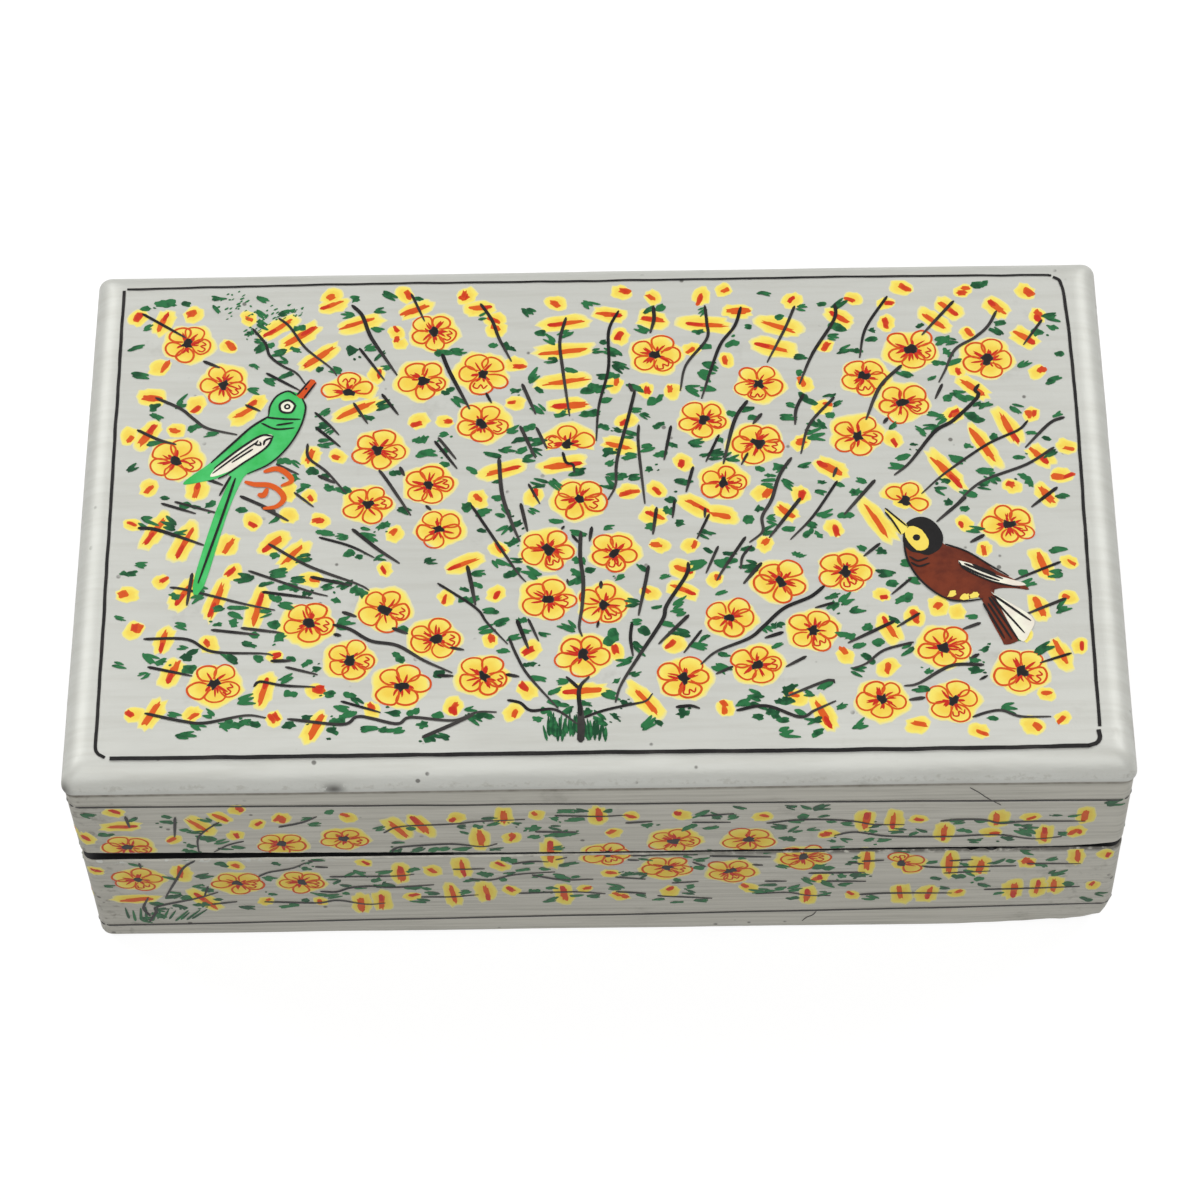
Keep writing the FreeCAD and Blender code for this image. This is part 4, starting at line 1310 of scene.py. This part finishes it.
SHORT_FLOWERS = ((-40, 32), (-28, 21), (-8, 30), (4, 19), (18, 33), (37, 25))
BAND_REACH = 4.35
# Heights of the runners on the walls that the photo doesn't show
BAND_ROWS = (42.5, 37.5, 32.5, 24.0, 19.0, 13.0)
# A runner's start from the left end, the last start and the last end before the right end, its length,
# sway, room from flowers and gap to the next, and the chances of a bar across it and a bud at its end
RUNNER_START = (1, 8)
RUNNER_LAST = 7
RUNNER_MARGIN = 2
RUNNER_LENGTH = (5, 15)
RUNNER_SWAY = (-0.8, 0.8)
RUNNER_ROOM = 1.5
RUNNER_GAP = (4, 9)
BAR_CHANCE = 0.65
BUD_CHANCE = 0.7
# Lowest and highest place of the loose leaves
BAND_FIELD = (10.0, 45.0)
# The lines that bound the bands: height at the left and the right end of the front
LINE_LOW = (5.2, 8.5)
LINE_HIGH = (47.6, 45.5)
LINE_WIDTH = 0.42
LINE_WOBBLE = 0.16
LINE_POINTS = 420
# Sizes, gaps and number of the bands' leaves, and widths of their stems
BAND_LEAVES = (0.75, 1.15)
BAND_LEAF_GAPS = (1.3, 2.7)
BAND_LOOSE_LEAVES = 110
FRONT_TWIG = 0.46
BAND_TWIG = 0.5
# The grass at the front's left: foot, width and height, lean from left to right, and blades
FRONT_TUFT = (-77.5, 7.0)
FRONT_TUFT_SIZE = (11.0, 4.8)
FRONT_TUFT_LEAN = (-0.1, 0.8)
FRONT_BLADES = 12
# Hair cracks in the front's ground, in the same way as its twigs
CRACK_WIDTH = 0.13
FRONT_CRACKS = (
    (37.2, 7.2, 36.6, 5.8, 35.6, 5.0, 34.8, 3.6), (61.5, 50.2, 63.2, 48.4, 64.6, 46.6, 67, 44.2))


def band_leaves(spray, twigs, half):
    """Leaves beside a band's twigs, and loose ones between."""
    spray.leaves(twigs, BAND_LEAF_GAPS, BAND_LEAVES)
    low, high = zip((-half, half), BAND_FIELD)
    spray.loose_leaves(BAND_LOOSE_LEAVES, low, high, BAND_LEAVES)


def paint_front(kit):
    """The front's band: flowers about the seam, short wavy runners with bars, and a tuft at the left."""
    spray = Spray(kit, side_sheet("front"), BAND_REACH, 21)
    spray.flowers(FRONT_FLOWERS)
    spray.half_flowers(FRONT_HALF_FLOWERS)
    spray.bars(FRONT_BARS)
    spray.buds(FRONT_BUDS)
    spray.twigs(FRONT_TWIGS, FRONT_TWIG)
    band_leaves(spray, FRONT_TWIGS, SIDES["front"][1])
    tuft(kit, spray.sheet, Vector(FRONT_TUFT), *FRONT_TUFT_SIZE, FRONT_TUFT_LEAN, FRONT_BLADES, spray.rng)
    spray.twigs(FRONT_CRACKS, CRACK_WIDTH)


def runners(half, flowers, rng):
    """Twigs, bars and buds for a wall that the photo doesn't show, strewn along rows."""
    twigs = []
    bars = []
    buds = []
    room = [(Vector(spot), BAND_REACH) for spot in flowers]
    for row in BAND_ROWS:
        x = -half + rng.uniform(*RUNNER_START)
        while x < half - RUNNER_LAST:
            end = min(x + rng.uniform(*RUNNER_LENGTH), half - RUNNER_MARGIN)
            knots = [Vector((x + (end - x) * at / 3, row + rng.uniform(*RUNNER_SWAY))) for at in range(4)]
            if all(clear(knot, room, RUNNER_ROOM) for knot in knots):
                twigs.append([number for knot in knots for number in knot])
                if rng.random() < BAR_CHANCE:
                    bars.append((*rng.choice(knots[1:3]), 90 + rng.uniform(-8, 8), rng.uniform(6, 8)))
                if rng.random() < BUD_CHANCE:
                    buds.append(knots[-1] + Vector((rng.uniform(1, 2.5), rng.uniform(-1.5, 1.5))))
            x = end + rng.uniform(*RUNNER_GAP)
    return twigs, bars, buds


def paint_band(kit, side, flowers, seed):
    """The band of a wall that the photo doesn't show, in the manner of the front's."""
    spray = Spray(kit, side_sheet(side), BAND_REACH, seed)
    half = SIDES[side][1]
    twigs, bars, buds = runners(half, flowers, spray.rng)
    spray.flowers(flowers)
    spray.bars(bars)
    spray.buds(buds)
    spray.twigs(twigs, BAND_TWIG)
    band_leaves(spray, twigs, half)


def line_height(ends, round_box):
    """Height of a bounding line: even slope over the front, and back again over the other walls."""
    rest = (round_box + GIRTH_X) % FULL_GIRTH
    front = 2 * GIRTH_X
    share = rest / front if rest < front else 1 - (rest - front) / (FULL_GIRTH - front)
    return ends[0] + (ends[1] - ends[0]) * share


def paint_girth_lines(kit):
    """Thin dark lines that bound the bands above and below."""
    for ends, seed in ((LINE_LOW, 3), (LINE_HIGH, 4)):
        path = []
        for at in range(LINE_POINTS + 1):
            round_box = FULL_GIRTH * (at / LINE_POINTS - 0.5)
            wobble = LINE_WOBBLE * noise.noise(Vector((at / 11, seed, 0)))
            path.append(Vector((round_box, line_height(ends, round_box) + wobble)))
        kit.line.ribbon(
            girth_sheet, path, lambda share: LINE_WIDTH + 0.1 * noise.noise(Vector((share * 90, seed, 0))),
            steady(0.2))


# How far from the rims the paint is cut
SEAM_EASE = 0.45
# Share of its overhang by which a mark's end is folded back from a rim
SEAM_FOLD = 0.03


def part_at_seam(film):
    """The film's marks above the seam and below it, closed where they are cut and kept on the worn rims."""
    slope = Vector((LID_RIM - LID_RIM_LEFT, 0, -(GAPE_END + HALF_LENGTH - WALL)))
    lid_edge = Vector((GAPE_END, 0, LID_RIM + SEAM_EASE)) * MM
    cuts = (
        ((lid_edge, Vector((0, 0, -1))), (lid_edge, slope)),
        ((Vector((0, 0, RIM - SEAM_EASE)) * MM, Vector((0, 0, 1))),))
    halves = []
    for planes in cuts:
        mesh = film.mesh()
        for place, away in planes:
            cut = bmesh.ops.bisect_plane(
                mesh, geom=mesh.verts[:] + mesh.edges[:] + mesh.faces[:], plane_co=place, plane_no=away,
                clear_outer=True)
            edges = [item for item in cut["geom_cut"] if isinstance(item, bmesh.types.BMEdge)]
            bmesh.ops.holes_fill(mesh, edges=edges, sides=0)
        halves.append(mesh)
    for half, rim_at, up in zip(halves, (lid_rim_at, tray_rim_at), (1, -1)):
        for vert in half.verts:
            edge = (rim_at(vert.co.x / MM) + up * RIM_ROUND) * MM
            over = up * (edge - vert.co.z)
            if over > 0:
                vert.co.z = edge + up * SEAM_FOLD * over
    return halves


def film_piece(name, mesh, body, material):
    """A film's marks as one piece on its body."""
    bmesh.ops.recalc_face_normals(mesh, faces=mesh.faces[:])
    piece = finish_mesh(name, mesh, smooth=False)
    piece.data.materials.append(material)
    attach(piece, body)
    return piece


# The two birds: where nothing else is painted, then their own outlines and lines as x and y by turns
BIRD_ROOM = (
    ((-54, 22), 4.5), ((-58.5, 15.5), 5.5), ((-65, 10), 4), ((-62.5, 4), 2), ((-65, -4), 2),
    ((-67.5, -12), 2), ((-57, 5), 3), ((56, -7), 4.5), ((51, -3.5), 2), ((60, -14), 6),
    ((67, -16.5), 4), ((69.5, -23), 4))
GREEN_BIRD = {
    "body": (
        -53.6, 25.1, -51.5, 24.2, -50.6, 21.5, -51.4, 17.5, -53.4, 13.4, -56.4, 10, -59.6, 8, -60.8,
        7.2, -63.2, 0, -66.7, -15.2, -68.5, -14.9, -65.6, -1, -63.2, 7.4, -66.4, 6.7, -71.2, 6, -67, 10,
        -63, 14, -60, 17.4, -57.3, 19.7, -56.8, 22, -55.6, 24.1),
    "wing": (
        -56, 15.6, -57.2, 13.2, -61, 10.1, -63.8, 8.2, -66.6, 7.4, -64.6, 10.4, -61, 13.6, -57.8, 15.9),
    "beak": (-52.3, 24.2, -51.2, 26, -49.9, 27.6, -48.9, 26.8, -50, 25, -51, 23.4),
    "eye": ((-53.8, 21.8), 1.3),
    "lines": (
        (-52.3, 24.2, -53.8, 25.1, -55.7, 24.1, -56.8, 22, -57, 19.8),
        (-51.3, 23.6, -50.6, 21.4, -51.4, 17.4, -53.4, 13.3, -56.4, 9.9, -60.2, 7.8),
        (-57, 19.8, -60, 17.5, -63, 14.2, -66.6, 10.2), (-57.4, 19.6, -54.4, 19.2, -51.4, 19.1),
        (-58.2, 18.4, -55.6, 17.1, -52.4, 17.3), (-55.6, 17.9, -52.6, 18.4),
        (-56, 15.7, -57.2, 13.2, -61.2, 9.9, -63.6, 7.9, -65.2, 6.9),
        (-56.1, 15.6, -58.2, 15.7, -61.8, 13, -66, 9), (-58.8, 14.4, -62.2, 11.6, -66.2, 8),
        (-59.4, 13, -63, 10.2), (-56.2, 15.3, -57.4, 14.7, -57.6, 13.7),
        (-58.6, 14.8, -59, 13.9, -58.1, 13.8, -58.3, 14.5), (-62.2, 7, -64.4, -2, -67.6, -14.4),
        (-63, 7.4, -64.8, 3.4), (-52.2, 24.2, -50, 27.4), (-51, 23.5, -49, 26.8),
        (-50.8, 25.4, -50.5, 25.7)),
    "feet": (
        (-57.4, 8.2, -55.2, 8.8, -53.4, 7.8, -52.5, 6.2, -54.3, 5.2),
        (-60.6, 6.2, -58.8, 5.6, -56.3, 5.4, -54.5, 4.2, -53.7, 2.5, -54.9, 1, -57.2, 0.6),
        (-58.2, 3.6, -57.2, 3.3, -56.6, 4.8)),
}
BROWN_BIRD = {
    "body": (
        53.8, -6, 52.4, -9.2, 52.7, -11.7, 54.1, -14.9, 56.4, -17.7, 59, -19.5, 61.7, -20, 64.4, -19.3,
        66, -23.6, 67.8, -28, 68.1, -28.7, 69.2, -28.6, 70.3, -28.1, 70.3, -27.6, 68.6, -23.4, 66.9,
        -18.6, 67.8, -17.6, 70.5, -17.6, 72.9, -17.9, 70.3, -15.8, 67.4, -14, 64.5, -11.3, 61.5, -9.6,
        58.9, -8.5, 56.9, -4.6),
    "cap": (
        52.1, -7.1, 52.6, -4.6, 54, -3.3, 55.8, -3, 57.5, -4, 58.7, -6, 58.9, -7.8, 58.2, -9.6, 56.3,
        -10.8, 54.9, -10.4, 53.2, -9.9, 52.2, -8.5),
    "face": ((54.5, -7.4), -1.1, 5.4, 3.3),
    "beak": (53, -4.9, 51.3, -2.9, 49.3, -1.2, 50.2, -3.6, 51.7, -6.5),
    "wing": (
        61.3, -12, 64.4, -13.1, 67.3, -14.9, 72.1, -16.7, 71.7, -17.2, 67.9, -16.7, 64.3, -14.9, 61.9,
        -13.2),
    "tail": (66.9, -18.8, 73, -23.4, 72.6, -26.2, 70.7, -27.9, 67.1, -19.3),
    "notches": (59.9, -18.7, 62, -19.3, 63.5, -19),
    "lines": (
        (52.2, -8.4, 52.7, -11.7, 54.1, -14.9, 56.4, -17.7, 59, -19.6, 61.7, -20.1, 65, -19.7),
        (59.2, -8.6, 62.8, -10.2, 66.4, -12.9, 69.6, -15.2),
        (61.3, -12.2, 62.4, -13.8, 66.6, -16.2, 71.4, -17.6), (62.2, -12.6, 65.6, -14.3, 68.6, -15.8),
        (63.6, -12.8, 67.4, -14.8), (61.8, -13, 64.8, -14.8, 68, -16.2), (66, -19.4, 70.4, -27.7),
        (66.4, -19.2, 71.6, -26.6), (66.8, -19, 72.8, -24.2), (65, -20.6, 68.2, -27.6),
        (65.8, -20.6, 69.4, -27.8), (49.3, -1.1, 51, -2.9, 52.9, -4.9),
        (49.3, -1.9, 50.5, -3.8, 51.8, -6.4), (53, -11, 54.4, -11.9, 56.2, -11.3),
        (53.2, -12.2, 54.6, -13, 56.4, -12.4)),
}


class BirdKit:
    """The films of one bird; only the brown bird has a cap."""

    def __init__(self):
        self.body = Film(0.115)
        self.cap = Film(0.135)
        self.pale = Film(0.150)
        self.bright = Film(0.150)
        self.line = Film(0.170)


def feathery(spot):
    """Uneven paint within a bird's filled shapes."""
    return 0.35 + 0.5 * noise.noise(Vector((spot.x / 3, spot.y / 3, 2)))


def fill(film, outline, tint):
    """Fills a bird's outline."""
    film.shape(top_sheet, closed_curve(spots_of(outline)), tint)


BIRD_LINE = (0.34, 0.46)


def bird_lines(kit, lines, rng):
    """A bird's dark lines."""
    for knots in lines:
        width = brushed(rng.uniform(*BIRD_LINE), 0.08, 0.25, 0.4)
        kit.line.ribbon(top_sheet, curve(spots_of(knots), 0.4), width, steady(0.0))


def round_spot(film, spot, radius, rng, tints):
    """A round dab on the lid."""
    film.patch(top_sheet, spot, dab(spot, 0.0, 2 * radius, 2 * radius, rng, 2.0, 0.03), tints)


# Directions of the knots of the lines round an eye
EYE_TURNS = (0.3, 1.5, 2.7, 3.9, 5.2, 6.4)


def paint_green_bird(kit):
    """Long-tailed green bird with a pale wing and an orange beak."""
    rng = random.Random(31)
    fill(kit.body, GREEN_BIRD["body"], feathery)
    fill(kit.pale, GREEN_BIRD["wing"], feathery)
    fill(kit.bright, GREEN_BIRD["beak"], steady(0.4))
    for foot in GREEN_BIRD["feet"]:
        kit.bright.ribbon(top_sheet, curve(spots_of(foot), 0.4), brushed(1.05, 0.2, 0.4, 0.4), steady(0.7))
    middle, radius = GREEN_BIRD["eye"]
    middle = Vector(middle)
    round_spot(kit.pale, middle, radius, rng, (0.2, 0.2, 0.3, 0.5))
    for far, wide in ((radius + 0.1, 0.42), (0.45, 0.36)):
        ring_line = closed_curve([turned(middle, turn, far) for turn in EYE_TURNS], 0.3)
        kit.line.ribbon(top_sheet, ring_line, brushed(wide, 0.1, 0.1, 0.8), steady(0.05))
    bird_lines(kit, GREEN_BIRD["lines"], rng)


def paint_brown_bird(kit):
    """Brown bird with a black cap, a yellow face and a long pale beak."""
    rng = random.Random(32)
    fill(kit.body, BROWN_BIRD["body"], feathery)
    fill(kit.cap, BROWN_BIRD["cap"], steady(0.0))
    fill(kit.pale, BROWN_BIRD["wing"], feathery)
    fill(kit.pale, BROWN_BIRD["tail"], feathery)
    spot, facing, long, wide = BROWN_BIRD["face"]
    spot = Vector(spot)
    kit.bright.shape(top_sheet, dab(spot, facing, long, wide, rng, 2.2, 0.02), steady(0.35))
    fill(kit.bright, BROWN_BIRD["beak"], steady(0.5))
    for notch in spots_of(BROWN_BIRD["notches"]):
        kit.bright.shape(top_sheet, dab(notch, 0.5, 1.7, 1.2, rng, 2.0, 0.12), steady(0.4))
    round_spot(kit.line, spot + Vector((-0.1, 0.2)), 0.75, rng, (0.0, 0.0, 0.1, 0.3))
    bird_lines(kit, BROWN_BIRD["lines"], rng)


# Slots of the paints that the spray and the bands are painted with
PAINTS = {"yellow": "yellow_paint", "red": "red_paint", "leaf": "leaf_paint", "line": "line_paint"}


def tone(name, description, *screen_colour):
    """A colour setting, its default given as a screen colour."""
    return bpy.props.FloatVectorProperty(
        name=name, description=description, subtype="COLOR", size=4, min=0, max=1,
        default=colour(*screen_colour))


class PAPERBOX_LookSettings(bpy.types.PropertyGroup):
    """Colours of the ground, among them its painted shade, and of the inside."""

    ground_light: tone("Ground, light", "Silver-grey ground where it is clean", 204, 205, 199)
    ground_dark: tone("Ground, dark", "Silver-grey ground where it is thin", 198, 199, 193)
    # Painted shade: the ground of the lid's middle and back, darker than at its front
    ground_shaded_back: tone("Ground, back", "Duller ground of the lid's middle and back", 194, 195, 189)
    # Painted shade: the walls' ground, darker and warmer than the top
    ground_shaded_wall: tone("Ground, handled", "Ground of the walls, yellowed by handling", 191, 188, 177)
    ground_streak: tone("Brush streak", "Faint streaks left by the ground's brush", 166, 164, 154)
    # Also the colour of the painted shade at the walls' left end and under the top board's edge
    ground_grime_and_shade: tone("Grime", "Handled, grubby patches", 112, 108, 98)
    ground_speck: tone("Speck", "Dark specks and pits", 66, 63, 57)
    ground_metal: bpy.props.FloatProperty(
        name="Silver", description="How metallic the ground is", min=0, max=1, default=0.26)
    inside: tone("Inside", "Black lacquer", 22, 22, 24)
    inside_rubbed: tone("Inside, rubbed", "Black lacquer where it is rubbed", 48, 47, 46)


class PAPERBOX_PaintSettings(bpy.types.PropertyGroup):
    """Colours of the painting, each as a full brush leaves it and as it runs thin."""

    yellow: tone("Yellow", "Middle of a yellow dab", 229, 193, 66)
    yellow_edge: tone("Yellow, edge", "Thin rim of a yellow dab", 233, 216, 100)
    yellow_rim: tone("Yellow, rim", "Where a yellow dab fades into the ground", 214, 210, 168)
    red: tone("Red", "Full red stroke", 188, 32, 8)
    red_edge: tone("Orange", "Red stroke drawn out thin over yellow", 206, 84, 12)
    leaf: tone("Leaf green", "Full green dab", 4, 64, 34)
    leaf_edge: tone("Leaf green, thin", "Green dab of a half-dry brush", 32, 106, 58)
    line: tone("Line", "Full dark line", 16, 14, 15)
    line_edge: tone("Line, thin", "Dark line drawn out thin", 58, 55, 53)
    bird_green: tone("Bird green", "Green bird's body", 46, 172, 78)
    bird_green_edge: tone("Bird green, thin", "Green bird's body where the paint is thin", 70, 188, 104)
    bird_brown: tone("Bird brown", "Brown bird's body", 80, 23, 5)
    bird_brown_edge: tone("Bird brown, thin", "Brown bird's body where the paint is thin", 112, 42, 12)
    pale: tone("Pale", "Pale wings and eye", 234, 234, 214)
    pale_edge: tone("Pale, thin", "Pale wings where the paint is thin", 222, 214, 200)


class PAPERBOX_StageSettings(bpy.types.PropertyGroup):
    """Camera and lights."""

    focal_length: bpy.props.FloatProperty(
        name="Focal length", description="Of the camera, on a 36 mm sensor", unit="CAMERA", default=120.0)
    distance: bpy.props.FloatProperty(
        name="Distance", description="From the camera to the box's middle", unit="LENGTH", default=0.712)
    elevation: bpy.props.FloatProperty(
        name="Elevation", description="Of the camera above the table", unit="ROTATION",
        default=math.radians(57.85))
    yaw: bpy.props.FloatProperty(
        name="Yaw", description="Of the camera round the box", unit="ROTATION", default=math.radians(1.52))
    roll: bpy.props.FloatProperty(
        name="Roll", description="Of the camera about its own axis", unit="ROTATION",
        default=math.radians(-2.09))
    aim: bpy.props.FloatVectorProperty(
        name="Aim", description="The point that the camera looks at", subtype="XYZ", unit="LENGTH",
        default=(0.0, 0.00095, 0.0256))


class PAPERBOX_OT_shells(bpy.types.Operator):
    """Covers the boards of the lid and the tray with the ground, black inside"""

    bl_idname = "paperbox.shells"
    bl_label = "Ground"

    def execute(self, context):
        look = context.scene.paperbox_look
        ground = ground_material(look)
        black = black_material(look)
        lid = shell("lid_ground", lid_levels(), TOP, 1)
        tray = shell("tray_ground", tray_levels(), 0.0, -1)
        for piece, body in ((lid, "lid"), (tray, "tray")):
            piece.data.materials.append(ground)
            piece.data.materials.append(black)
            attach(piece, body)
        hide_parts(*[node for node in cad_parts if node.startswith("lid_")])
        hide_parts(*[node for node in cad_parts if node.startswith("tray_")])
        for node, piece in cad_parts.items():
            if node.startswith("collar_"):
                piece.data.materials.clear()
                piece.data.materials.append(black)
        return {"FINISHED"}


def paint_materials(paints):
    """The painting's materials by paint, made at the first call."""
    made = {}
    for paint, speckle in (
        ("yellow", 0.3), ("red", 0.5), ("leaf", 1.3), ("line", 0.4), ("bird_green", 0.5),
        ("bird_brown", 0.6), ("pale", 0.5),
    ):
        inner = getattr(paints, paint)
        edge = getattr(paints, paint + "_edge")
        rim = paints.yellow_rim if paint == "yellow" else edge
        name = paint + "_paint"
        made[paint] = bpy.data.materials.get(name) or paint_material(name, inner, edge, rim, speckle)
    return made


class PAPERBOX_OT_lid_spray(bpy.types.Operator):
    """Paints the spray of flowers and the border line on the lid's top"""

    bl_idname = "paperbox.lid_spray"
    bl_label = "Spray on the Lid"

    def execute(self, context):
        materials = paint_materials(context.scene.paperbox_paints)
        kit = Kit()
        paint_lid(kit)
        for paint, slot in PAINTS.items():
            film_piece("lid_spray_" + paint, getattr(kit, paint).mesh(), "lid", materials[paint])
        return {"FINISHED"}


class PAPERBOX_OT_birds(bpy.types.Operator):
    """Paints the green bird and the brown bird on the lid's top"""

    bl_idname = "paperbox.birds"
    bl_label = "Birds on the Lid"

    def execute(self, context):
        materials = paint_materials(context.scene.paperbox_paints)
        green = BirdKit()
        paint_green_bird(green)
        brown = BirdKit()
        paint_brown_bird(brown)
        for name, film, paint in (
            ("green_bird_body", green.body, "bird_green"), ("green_bird_wing", green.pale, "pale"),
            ("green_bird_beak", green.bright, "red"),
            ("green_bird_lines", green.line, "line"), ("brown_bird_body", brown.body, "bird_brown"),
            ("brown_bird_cap", brown.cap, "line"), ("brown_bird_wing", brown.pale, "pale"),
            ("brown_bird_face", brown.bright, "yellow"), ("brown_bird_lines", brown.line, "line"),
        ):
            film_piece(name, film.mesh(), "lid", materials[paint])
        return {"FINISHED"}


class PAPERBOX_OT_bands(bpy.types.Operator):
    """Paints the bands round the walls, parted at the seam"""

    bl_idname = "paperbox.bands"
    bl_label = "Bands on the Walls"

    def execute(self, context):
        materials = paint_materials(context.scene.paperbox_paints)
        kit = Kit()
        paint_front(kit)
        paint_band(kit, "right", SHORT_FLOWERS, 22)
        paint_band(kit, "back", BACK_FLOWERS, 23)
        paint_band(kit, "left", SHORT_FLOWERS, 24)
        paint_girth_lines(kit)
        for paint, slot in PAINTS.items():
            over, under = part_at_seam(getattr(kit, paint))
            film_piece("lid_band_" + paint, over, "lid", materials[paint])
            film_piece("tray_band_" + paint, under, "tray", materials[paint])
        return {"FINISHED"}


# The floor, in metres, and how bright it looks to the camera; the light from all round
FLOOR_REACH = 3.0
FLOOR_DROP = 0.0001
FLOOR_GLOW = 0.86
FLOOR_COLOUR = colour(120, 120, 120)
WORLD_COLOUR = (1.0, 0.985, 0.955, 1)
WORLD_LIGHT = 0.24
# Soft lamps, as name, place, aim, size and power
LAMPS = (
    ("softbox_front", (-0.05, -0.75, 0.95), (0, 0, 0.03), 1.3, 10.2),
    ("softbox_left", (-0.72, 0.62, 0.75), (0, 0, 0.04), 0.75, 7.0),
    ("softbox_right", (0.72, 0.62, 0.75), (0, 0, 0.04), 0.75, 6.7))
SENSOR_WIDTH = 36.0


class PAPERBOX_OT_stage(bpy.types.Operator):
    """Sets up the pale floor, the soft light and the camera"""

    bl_idname = "paperbox.stage"
    bl_label = "Stage"

    def execute(self, context):
        settings = context.scene.paperbox_stage
        scene = context.scene
        scene.view_settings.view_transform = "Standard"
        self.floor()
        self.world(scene)
        self.lamps()
        self.camera(scene, settings)
        return {"FINISHED"}

    def floor(self):
        """A plain floor that keeps the shadow and looks white to the camera."""
        mesh = bmesh.new()
        bmesh.ops.create_grid(mesh, x_segments=1, y_segments=1, size=FLOOR_REACH)
        floor = finish_mesh("floor", mesh, smooth=False)
        floor.location.z = -FLOOR_DROP
        material, root, shader = new_material("floor_white")
        seen = root.node("ShaderNodeLightPath", output="Is Camera Ray")
        glossy = root.node("ShaderNodeLightPath", output="Is Glossy Ray")
        white = root.maths("MAXIMUM", seen, glossy) * FLOOR_GLOW
        feed(root, shader, Base_Color=FLOOR_COLOUR, Roughness=0.9)
        glow = root.node("ShaderNodeEmission", None, {"Color": (1, 1, 1, 1), "Strength": white})
        plain = Shade(root.tree, shader.outputs[0])
        both = root.node("ShaderNodeAddShader", None, {0: plain, 1: glow})
        output = root.tree.nodes["Material Output"]
        root.tree.links.new(both.socket, output.inputs["Surface"])
        floor.data.materials.append(material)

    def world(self, scene):
        """Even light from all round, white to the camera."""
        world = bpy.data.worlds.new("studio")
        world.use_nodes = True
        root = Shade(world.node_tree)
        seen = root.node("ShaderNodeLightPath", output="Is Camera Ray")
        background = world.node_tree.nodes["Background"]
        background.inputs["Color"].default_value = WORLD_COLOUR
        strength = seen * (1 - WORLD_LIGHT) + WORLD_LIGHT
        world.node_tree.links.new(strength.socket, background.inputs["Strength"])
        scene.world = world

    def lamps(self):
        """Three soft lamps."""
        for name, place, aim, size, power in LAMPS:
            data = bpy.data.lights.new(name, "AREA")
            data.shape = "SQUARE"
            data.size = size
            data.energy = power
            lamp = bpy.data.objects.new(name, data)
            lamp.location = place
            lamp.rotation_euler = (Vector(aim) - Vector(place)).to_track_quat("-Z", "Y").to_euler()
            bpy.context.scene.collection.objects.link(lamp)

    def camera(self, scene, settings):
        """The camera that the photo was taken with, as fitted to it."""
        data = bpy.data.cameras.new("camera")
        data.sensor_width = SENSOR_WIDTH
        data.sensor_fit = "HORIZONTAL"
        data.lens = settings.focal_length
        data.clip_start = 0.01
        camera = bpy.data.objects.new("camera", data)
        scene.collection.objects.link(camera)
        tilt = Matrix.Rotation(math.pi / 2 - settings.elevation, 4, "X")
        turn = Matrix.Rotation(settings.yaw, 4, "Z") @ tilt @ Matrix.Rotation(settings.roll, 4, "Z")
        back = turn @ Vector((0, 0, settings.distance))
        camera.matrix_world = Matrix.Translation(Vector(settings.aim) + back) @ turn
        scene.camera = camera


class PAPERBOX_PT_panel(bpy.types.Panel):
    """Lists the box's steps in the sidebar"""

    bl_idname = "PAPERBOX_PT_panel"
    bl_label = "Papier Mache Box"
    bl_space_type = "VIEW_3D"
    bl_region_type = "UI"
    bl_category = "Paper Box"

    def draw(self, context):
        for operator in OPERATORS:
            self.layout.operator(operator.bl_idname)


OPERATORS = (
    PAPERBOX_OT_shells, PAPERBOX_OT_lid_spray, PAPERBOX_OT_birds, PAPERBOX_OT_bands, PAPERBOX_OT_stage)
SETTINGS = (PAPERBOX_LookSettings, PAPERBOX_PaintSettings, PAPERBOX_StageSettings)


def register():
    for item in (*SETTINGS, *OPERATORS, PAPERBOX_PT_panel):
        bpy.utils.register_class(item)
    bpy.types.Scene.paperbox_look = bpy.props.PointerProperty(type=PAPERBOX_LookSettings)
    bpy.types.Scene.paperbox_paints = bpy.props.PointerProperty(type=PAPERBOX_PaintSettings)
    bpy.types.Scene.paperbox_stage = bpy.props.PointerProperty(type=PAPERBOX_StageSettings)


def unregister():
    del bpy.types.Scene.paperbox_stage
    del bpy.types.Scene.paperbox_paints
    del bpy.types.Scene.paperbox_look
    for item in reversed((*SETTINGS, *OPERATORS, PAPERBOX_PT_panel)):
        bpy.utils.unregister_class(item)


def main():
    register()
    bpy.ops.paperbox.shells()
    bpy.ops.paperbox.lid_spray()
    bpy.ops.paperbox.birds()
    bpy.ops.paperbox.bands()
    bpy.ops.paperbox.stage()


if __name__ == "__main__":
    main()
